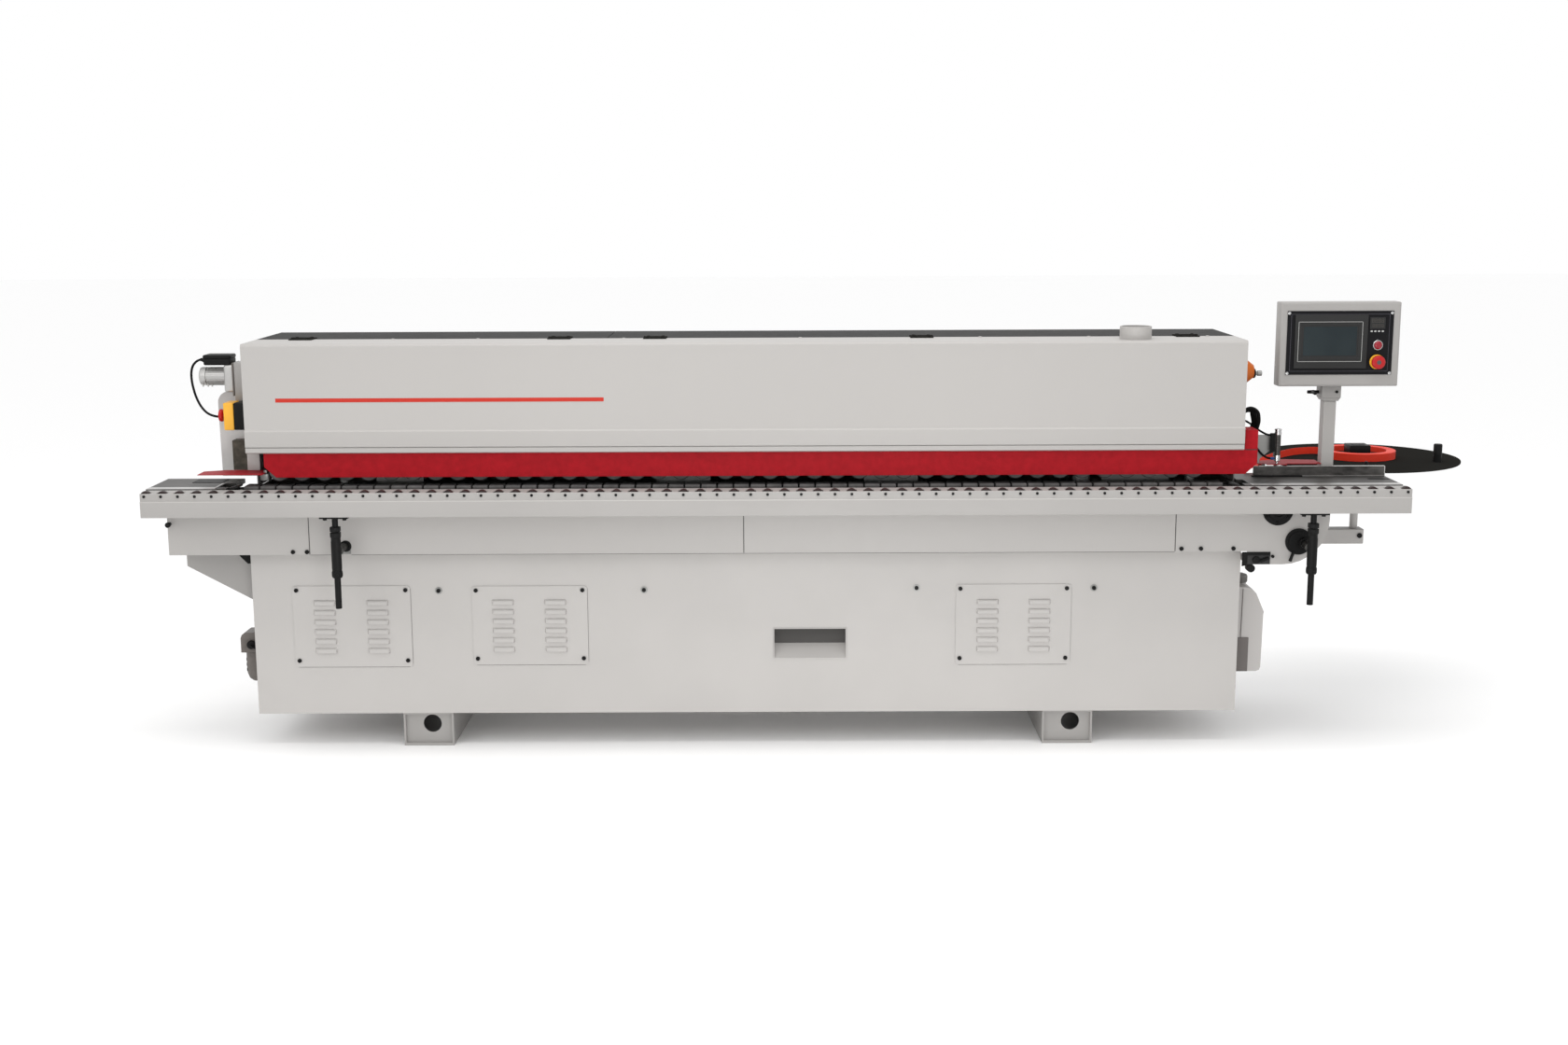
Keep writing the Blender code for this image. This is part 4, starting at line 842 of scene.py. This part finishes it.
# painted shade: a thin black ring round the left tube stands in for the shade inside the cover hole it passes through
s = Shape()
ring(s, (-1.2795, 0.6250), 0.0168, (-1.2820, 0.6250), 0.0112, COVER_Y - 0.0012, COVER_Y - 0.0002)
s.done("tube_hole_shade_left", "frame", "black", "black_plastic", angle=35)
s = Shape()
ICX, ICZ = 1.4369, 0.7208
s.turned([(0, 0), (0.0440, 0), (0.0440, 0.0060), (0.0428, 0.0072), (0.0300, 0.0072), (0.0285, 0.0110), (0.0180, 0.0110), (0.0165, 0.0085), (0, 0.0085)], (ICX, COVER_Y - 0.0003, ICZ), "-Y", 48)
for q in range(6):
    a = math.radians(30 + 60 * q)
    hex_socket(s, (ICX + 0.0360 * math.cos(a), COVER_Y - 0.0072, ICZ + 0.0360 * math.sin(a)), 0.0048, 0.0045)
s.done("idler_bearing_cap", "frame", "black", "black_plastic", angle=35)
s = Shape()
s.box(1.3540, 1.4200, COVER_Y - 0.0022, COVER_Y - 0.0004, 0.5610, 0.5875, 0.0005, 1)
s.done("cover_window", "frame", "rubber_dark", "black_plastic")
s = Shape()
s.cyl((1.3660, COVER_Y + 0.0130, 0.5480), 0.0120, 0.0300, "Y", 24, bevel=0.0020)
s.cyl((1.3790, COVER_Y - 0.0050, 0.5740), 0.0110, 0.0080, "Y", 24, bevel=0.0020)
s.rod((1.3900, COVER_Y - 0.0060, 0.5700), (1.4150, COVER_Y - 0.0060, 0.5800), 0.0055, 14, None, 0.001)
s.cyl((1.4270, COVER_Y - 0.0040, 0.5845), 0.0045, 0.0060, "Y", 14)
s.done("cover_window_parts", "frame", "black", "black_plastic", angle=40)

# =============================================================== left end
s = Shape()
s.box(-1.6475, -1.6045, 0.1180, 0.1598, 0.8240, 0.9135, 0.0012, 1)
s.done("end_guard_strip", "frame", "strip_dark", "zinc_steel")
s = Shape()
s.box(-1.5765, -1.5395, 0.0200, 0.0520, 0.8375, 0.8950, 0.0012, 1)
s.done("end_guide_block", "frame", "shell_smooth", "shell_paint")
s = Shape()
s.turned([(0, 0), (0.0140, 0), (0.0158, 0.0016), (0.0158, 0.0195), (0.0140, 0.0214), (0.0060, 0.0214), (0.0060, 0.0300), (0, 0.0300)], (-1.5140, -0.0150, 0.8135), "Z", 32)
s.done("end_guide_roller", "frame", "zinc", "zinc_steel", angle=40)

s = Shape()
s.box(-1.6215, -1.5560, 0.0850, 0.1550, 1.0350, 1.1490, 0.0040, 2)
s.done("motor_gearbox", "frame", "panel_shell", "cast_aluminium", ("end_motor",))
s = Shape()
s.box(-1.6270, -1.6212, 0.0840, 0.1560, 1.0500, 1.1480, 0.0020, 1)
s.done("motor_flange_plate", "frame", "filter_grey", "cast_aluminium")
s = Shape()
s.box(-1.6520, -1.6217, 0.0850, 0.1550, 1.0600, 1.1420, 0.0070, 3)
s.turned([(0, -0.1080), (0.0205, -0.1080), (0.0262, -0.1050), (0.0275, -0.1000), (0.0275, -0.0880), (0.0262, -0.0872), (0.0248, -0.0870), (0.0248, -0.0310), (0.0262, -0.0300), (0.0262, -0.0280), (0, -0.0280)], (-1.6217, 0.1200, 1.1060), "X", 40)
for q in range(22):
    a = 2 * math.pi * q / 22
    c = (-1.6800, 0.1200 + 0.0252 * math.cos(a), 1.1060 + 0.0252 * math.sin(a))
    s.box(c[0] - 0.0270, c[0] + 0.0270, c[1] - 0.0007, c[1] + 0.0007, c[2] - 0.0020, c[2] + 0.0020, turn=Matrix.Rotation(a + math.pi / 2, 4, "X"))
for x in (-1.7200, -1.7050, -1.6930):
    s.cyl((x, 0.1060, 1.0800), 0.0022, 0.0080, "Z", 10)
s.done("motor_body", "frame", "alu", "cast_aluminium", angle=40)
s = Shape()
s.box(-1.7105, -1.6310, 0.0880, 0.1500, 1.1405, 1.1610, 0.0045, 3)
s.box(-1.7120, -1.6300, 0.0865, 0.1515, 1.1590, 1.1712, 0.0050, 3)
s.rod((-1.7100, 0.1200, 1.1530), (-1.7210, 0.1200, 1.1545), 0.0075, 6, None, 0.0008)
s.rod((-1.7200, 0.1200, 1.1543), (-1.7275, 0.1200, 1.1553), 0.0058, 20, 0.0046)
s.done("motor_terminal_box", "frame", "black", "black_plastic", angle=40)
s = Shape()
s.box(-1.6075, -1.5560, 0.0165, 0.0815, 0.9575, 1.0365, 0.0025, 2)
s.box(-1.6110, -1.6070, 0.0180, 0.0800, 0.9600, 1.0340)
s.rod((-1.6076, 0.0740, 0.9900), (-1.6470, 0.0740, 0.9900), 0.0052, 18)
s.done("estop_base", "frame", "black", "black_plastic", angle=40)
s = Shape()
ring_y = [(0.0150, 0.9570), (0.0820, 0.9570), (0.0820, 1.0370), (0.0150, 1.0370)]
s.box(-1.6375, -1.6082, 0.0150, 0.0680, 0.9570, 1.0370, 0.0030, 3)
s.box(-1.6375, -1.6082, 0.0640, 0.0820, 0.9960, 1.0370, 0.0030, 3)
s.box(-1.6375, -1.6082, 0.0640, 0.0820, 0.9570, 0.9840, 0.0030, 3)
s.turned([(0.0100, 0), (0.0120, 0), (0.0140, -0.0012), (0.0138, -0.0028), (0.0100, -0.0028)], (-1.6375, 0.0485, 0.9970), "X", 32)
s.done("estop_cover", "frame", "yellow", "yellow_plastic", ("estop_station",), 40)
s = Shape()
s.turned([(0, -0.0130), (0.0130, -0.0130), (0.0172, -0.0118), (0.0186, -0.0090), (0.0186, -0.0050), (0.0172, -0.0020), (0.0120, 0), (0.0085, 0.0006), (0.0080, 0.0012), (0.0080, 0.0032), (0, 0.0032)], (-1.6460, 0.0485, 0.9970), "X", 44)
s.done("side_stop_mushroom", "side_stop_button", "red_plastic", "red_plastic", ("side_estop_button",), 50)
tube("motor_cable", [
    (-1.7275, 0.1200, 1.1553), (-1.7390, 0.1195, 1.1500), (-1.7500, 0.1180, 1.1380), (-1.7555, 0.1160, 1.1190), (-1.7550, 0.1130, 1.0950), (-1.7500, 0.1090, 1.0700), (-1.7410, 0.1040, 1.0430),
    (-1.7270, 0.0980, 1.0180), (-1.7080, 0.0900, 1.0000), (-1.6870, 0.0820, 0.9920), (-1.6660, 0.0755, 0.9900), (-1.6472, 0.0740, 0.9900),
], 0.0035, "frame", "hose", declare={"stiffness": "stiff", "lay": "hanging"})

# painted shadow: a black block stands in for the shade beside the recessed gusset
s = Shape()
s.prism([(-1.6340, 0.5990), (-1.5795, 0.5990), (-1.5795, 0.5540), (-1.5980, 0.5540), (-1.6180, 0.5740)], "Y", 0.0395, 0.0445)
s.done("gusset_shadow_block", "frame", "black", "black_plastic")

# air filter and its gauge
s = Shape()
s.prism([(-1.6480, 0.2680), (-1.5775, 0.2680), (-1.5775, 0.3450), (-1.5900, 0.3450), (-1.6080, 0.3300), (-1.6340, 0.3300), (-1.6440, 0.3230), (-1.6480, 0.3130)], "Y", 0.0900, 0.1600, 0.0015, 1)
for z in (0.3000, 0.3060, 0.2840):
    s.box(-1.6380, -1.5900, 0.0890, 0.0910, z, z + 0.0016)
s.turned([(0, 0.1740), (0.0120, 0.1740), (0.0225, 0.1830), (0.0280, 0.1990), (0.0290, 0.2150), (0.0290, 0.2660), (0, 0.2660)], (-1.6130, 0.1250, 0), "Z", 36)
s.done("filter_body", "frame", "filter_grey", "cast_aluminium", ("air_filter_unit",), 40)
s = Shape()
s.cyl((-1.5960, 0.1250, 0.3450), 0.0135, 0.0280, "Z", 20, bevel=0.002)
s.turned([(0, 0), (0.0130, 0), (0.0130, 0.0080), (0.0105, 0.0100), (0, 0.0100)], (-1.6150, 0.0900, 0.2935), "-Y", 28)
for z in (0.2420, 0.2260, 0.2100):
    for a in (-62, 40):
        x, y = -1.6130 + 0.0284 * math.sin(math.radians(a)), 0.1250 - 0.0284 * math.cos(math.radians(a))
        s.box(x - 0.0028, x + 0.0028, y - 0.0015, y + 0.0015, z - 0.0045, z + 0.0045, turn=Matrix.Rotation(math.radians(a), 4, "Z"))
s.done("filter_details", "frame", "black", "black_plastic", angle=40)
tube("filter_cable", [(-1.6150, 0.0810, 0.2935), (-1.6120, 0.0750, 0.2920), (-1.6050, 0.0730, 0.2880), (-1.5950, 0.0760, 0.2840), (-1.5850, 0.0810, 0.2810), (-1.5776, 0.0850, 0.2800)], 0.0028, "frame", "hose", declare={"stiffness": "medium", "lay": "loose"})

# =============================================================== right end
s = Shape()
s.turned([(0, 0), (0.0325, 0), (0.0325, 0.0350), (0.0215, 0.0490), (0.0200, 0.0515), (0, 0.0515)], (1.3366, 0.1000, 1.1105), "X", 40)
s.done("end_knob_orange", "frame", "orange", "yellow_plastic", angle=40)
s = Shape()
s.turned([(0, 0.0510), (0.0145, 0.0510), (0.0145, 0.0565), (0.0115, 0.0590), (0, 0.0590)], (1.3366, 0.1000, 1.1045), "X", 28)
s.done("end_knob_collar", "frame", "black", "black_plastic", angle=40)
s = Shape()
s.turned([(0, 0.0585), (0.0055, 0.0585), (0.0055, 0.0640), (0.0080, 0.0650), (0.0080, 0.0770), (0.0072, 0.0778), (0, 0.0778)], (1.3366, 0.1000, 1.1045), "X", 24)
s.done("end_knob_shaft", "frame", "zinc", "zinc_steel", angle=40)

for i, (y, top, out, low) in enumerate(((0.0560, 1.0060, 1.4010, 0.9600), (0.0680, 1.0010, 1.3950, 0.9580), (0.0800, 0.9960, 1.3900, 0.9560))):
    tube(f"end_hose_{i + 1}", [
        (1.3366, y, top - 0.0200), (1.3520, y, top - 0.0120), (1.3680, y, top - 0.0015), (1.3830, y, top - 0.0015), (out - 0.0040, y, top - 0.0130), (out, y, top - 0.0320),
        (out - 0.0010, y, low), (out - 0.0080, y + 0.0020, low - 0.0220), (out - 0.0240, y + 0.0040, low - 0.0340), (1.3560, y + 0.0060, low - 0.0380), (1.3366, y + 0.0070, low - 0.0380),
    ], 0.0050, "frame", "hose", declare={"stiffness": "medium", "lay": "loose"})
s = Shape()
s.cyl((1.4530, 0.1000, 0.9205), 0.0042, 0.0100, "X", 14)
upper_fitting = s.done("cylinder_fitting_upper", "frame", "black", "black_plastic", angle=40)
s = Shape()
s.cyl((1.4575, 0.1000, 0.8500), 0.0042, 0.0120, "X", 14)
lower_fitting = s.done("cylinder_fitting_lower", "frame", "blue", "black_plastic", angle=40)
tube("cylinder_hose_upper", [
    (1.3366, 0.0960, 0.9720), (1.3540, 0.0960, 0.9700), (1.3760, 0.0965, 0.9610), (1.3960, 0.0970, 0.9480), (1.4120, 0.0980, 0.9360), (1.4280, 0.0990, 0.9265), (1.4400, 0.1000, 0.9212), (1.4485, 0.1000, 0.9205),
], 0.0032, "frame", "hose", declare={"stiffness": "medium", "lay": "loose", "far_end": "fitting", "with_pieces": [upper_fitting]})
tube("cylinder_hose_lower", [
    (1.3366, 0.0960, 0.9240), (1.3560, 0.0960, 0.9200), (1.3780, 0.0965, 0.9100), (1.3960, 0.0970, 0.8960), (1.4100, 0.0980, 0.8800), (1.4240, 0.0990, 0.8640), (1.4390, 0.1000, 0.8530), (1.4520, 0.1000, 0.8500),
], 0.0032, "frame", "hose", declare={"stiffness": "medium", "lay": "loose", "far_end": "fitting", "with_pieces": [lower_fitting]})
s = Shape()
s.cyl((1.4712, 0.1000, 0.8910), 0.0088, 0.0640, "Z", 28)
s.box(1.4600, 1.4640, 0.0940, 0.1060, 0.8560, 0.9250, 0.0008, 1)
s.done("trim_cylinder_barrel", "frame", "dark_zinc", "zinc_steel", angle=40)
s = Shape()
s.turned([(0, 0.9215), (0.0102, 0.9215), (0.0102, 0.9300), (0.0092, 0.9306), (0.0092, 0.9330), (0.0102, 0.9336), (0.0102, 0.9385), (0.0060, 0.9400), (0, 0.9400)], (1.4712, 0.1000, 0), "Z", 28)
s.turned([(0, 0.8410), (0.0070, 0.8410), (0.0098, 0.8430), (0.0098, 0.8600), (0, 0.8600)], (1.4712, 0.1000, 0), "Z", 28)
s.cyl((1.4712, 0.1000, 0.8370), 0.0040, 0.0100, "Z", 16)
s.done("trim_cylinder_caps", "frame", "chrome", "bright_steel", angle=40)
s = Shape()
s.box(1.4490, 1.4632, 0.0935, 0.1065, 0.8700, 0.9255, 0.0010, 1)
s.done("trim_cylinder_valve", "frame", "black", "black_plastic", angle=40)
s = Shape()
s.prism([(1.4060, 0.9192), (1.4575, 0.9190), (1.4590, 0.8787), (1.4230, 0.8474), (1.4200, 0.8336), (1.4060, 0.8336)], "Y", 0.1120, 0.1150)
s.done("cylinder_backplate", "frame", "zinc", "zinc_steel")
s = Shape()
s.prism([(1.4060, 0.1090), (1.6060, 0.1085), (1.6065, 0.1830), (1.5104, 0.1984), (1.4532, 0.1781), (1.4060, 0.1600)], "Z", 0.8312, 0.8333)
s.prism([(1.4400, 0.0900), (1.5000, 0.0900), (1.5000, 0.1100), (1.4400, 0.1100)], "Z", 0.8312, 0.8333)
s.done("edging_guide_plate", "frame", "red_plate", "red_paint")
s = Shape()
s.cyl((1.4712, 0.0960, 0.8305), 0.0046, 0.0016, "Z", 16)
s.box(1.4300, 1.4400, 0.1130, 0.1560, 0.7998, 0.8310)
s.box(1.4660, 1.4760, 0.1130, 0.1180, 0.7998, 0.8310)
s.done("edging_guide_posts", "frame", "zinc", "zinc_steel")

# bright edges of the two tables and of the fence
s = Shape()
s.box(1.4000, 1.7900, 0.0850, 0.0970, 0.82755, 0.8282)
s.box(1.7880, 1.7902, 0.0846, 0.0974, 0.8060, 0.8275)
s.box(1.4000, 1.7870, 0.0800, 0.0850, 0.79955, 0.8006)
s.box(1.3520, 1.7870, -0.0902, -0.0560, 0.79955, 0.8000)
s.box(-1.8420, -1.6450, -0.0892, -0.0520, 0.79955, 0.8000)
s.box(-1.6520, -1.6460, -0.0520, 0.0160, 0.79955, 0.8000)
s.done("table_bright_edges", "frame", "bright_edge", "zinc_steel")
s = Shape()
s.box(1.3900, 1.5400, 0.0650, 0.0790, 0.7998, 0.8030, 0.0005, 1)
s.box(1.7200, 1.7800, 0.0080, 0.0280, 0.7998, 0.8004)
s.box(-1.7450, -1.6540, 0.0300, 0.0980, 0.7998, 0.8006)
s.done("infeed_dark_pads", "frame", "black_paint", "black_paint")

# =============================================================== reel
RX, RY, RZ, RR = 1.8260, 0.4720, 0.8000, 0.3120
s = Shape()
s.turned([(0, -0.0060), (RR - 0.0006, -0.0060), (RR, -0.0054), (RR, -0.0008), (RR - 0.0008, 0), (0, 0)], (RX, RY, RZ), "Z", 128)
s.done("reel_disc_sheet", "tape_reel", "disc", "dark_paint", ("reel_disc",), 40)
s = Shape()
s.turned([(0, 0), (0.0870, 0), (0.0870, 0.0070), (0.0855, 0.0080), (0, 0.0080)], (RX, RY, RZ), "Z", 64)
s.box(RX - 0.0330, RX + 0.0330, RY - 0.0330, RY + 0.0330, RZ + 0.0070, RZ + 0.0400, 0.0025, 2)
s.box(RX - 0.0190, RX + 0.0190, RY - 0.0190, RY + 0.0190, RZ + 0.0390, RZ + 0.0412, 0.0010, 1)
s.turned([(0, -0.0025), (0.0133, -0.0025), (0.0133, 0.0200), (0.0121, 0.0208), (0.0121, 0.0222), (0.0133, 0.0230), (0.0133, 0.0540), (0.0112, 0.0565), (0, 0.0565)], (RX + 0.2140, RY - 0.1200, RZ), "Z", 32)
s.turned([(0, -0.0025), (0.0120, -0.0025), (0.0120, 0.0080), (0.0075, 0.0110), (0.0060, 0.0185), (0.0045, 0.0220), (0, 0.0220)], (RX - 0.0490, RY - 0.2510, RZ), "Z", 28)
s.done("reel_hub_and_posts", "tape_reel", "black", "black_plastic", angle=40)
s = Shape()
profile = [(0.0890, 0.0006), (0.1170, 0.0006), (0.1170, 0.0236)]
r = 0.1170
while r > 0.0905:
    profile += [(r - 0.0004, 0.0239), (r - 0.0020, 0.0239), (r - 0.0024, 0.0235)]
    r -= 0.0028
profile += [(0.0890, 0.0236)]
s.turned(profile, (RX, RY, RZ), "Z", 96)
s.done("tape_roll_wound", "tape_reel", "tape", "orange_tape", ("tape_roll",), 40)
band = smooth_path([(RX - 0.1090, RY + 0.0440, 0), (1.6950, 0.5205, 0), (1.6640, 0.5120, 0), (1.6200, 0.4850, 0), (1.5400, 0.3930, 0), (1.4630, 0.2730, 0), (1.4230, 0.2080, 0), (1.3920, 0.1650, 0)], 8)
s = Shape()
half = []
for i, p in enumerate(band):
    q = band[min(i + 1, len(band) - 1)] - band[max(i - 1, 0)]
    side = Vector((-q.y, q.x, 0)).normalized() * 0.0006
    half.append((p + side, p - side))
outline = [(a.x, a.y) for a, _ in half] + [(b.x, b.y) for _, b in reversed(half)]
s.prism(outline, "Z", 0.8030, 0.8250)
s.done("edging_strip", "frame", "tape", "orange_tape")
s = Shape()
hex_socket(s, (1.8380, 0.4420, 0.5500), 0.0080, 0.0050)
s.done("reel_arm_screw", "frame", "screw", "black_paint", angle=40)

# =============================================================== release agent tank
s = Shape()
s.prism([(1.3535, 0.2010), (1.4300, 0.2010), (1.4390, 0.2050), (1.4430, 0.2140), (1.4455, 0.3790), (1.4470, 0.3850), (1.4220, 0.4420), (1.4090, 0.4560), (1.3900, 0.4610), (1.3535, 0.4620)], "Y", 0.0800, 0.2300, 0.0060, 3)
s.turned([(0, 0.4500), (0.0205, 0.4500), (0.0205, 0.4640), (0, 0.4640)], (1.3860, 0.1500, 0), "Z", 32)
s.done("tank_body", "frame", "tank", "tank_plastic", ("release_agent_tank",), 40)
s = Shape()
s.turned([(0, 0.4640), (0.0225, 0.4640), (0.0232, 0.4655), (0.0232, 0.4840), (0.0218, 0.4870), (0.0120, 0.4905), (0, 0.4905)], (1.3860, 0.1500, 0), "Z", 36)
for q in range(36):
    a = 2 * math.pi * q / 36
    s.box(1.3860 + 0.0232 * math.cos(a) - 0.0008, 1.3860 + 0.0232 * math.cos(a) + 0.0008, 0.1500 + 0.0232 * math.sin(a) - 0.0008, 0.1500 + 0.0232 * math.sin(a) + 0.0008, 0.4665, 0.4835)
s.done("tank_cap", "frame", "tank_cap", "tank_plastic", angle=40)
s = Shape()
s.box(1.3535, 1.4030, 0.0772, 0.0796, 0.2010, 0.3065, 0.0006, 1)
s.box(1.3535, 1.3560, 0.0772, 0.2000, 0.2010, 0.3065, 0.0006, 1)
s.rod((1.3790, 0.0790, 0.3060), (1.3815, 0.0790, 0.4560), 0.0012, 10)
s.done("tank_bracket", "frame", "bracket_grey", "zinc_steel")
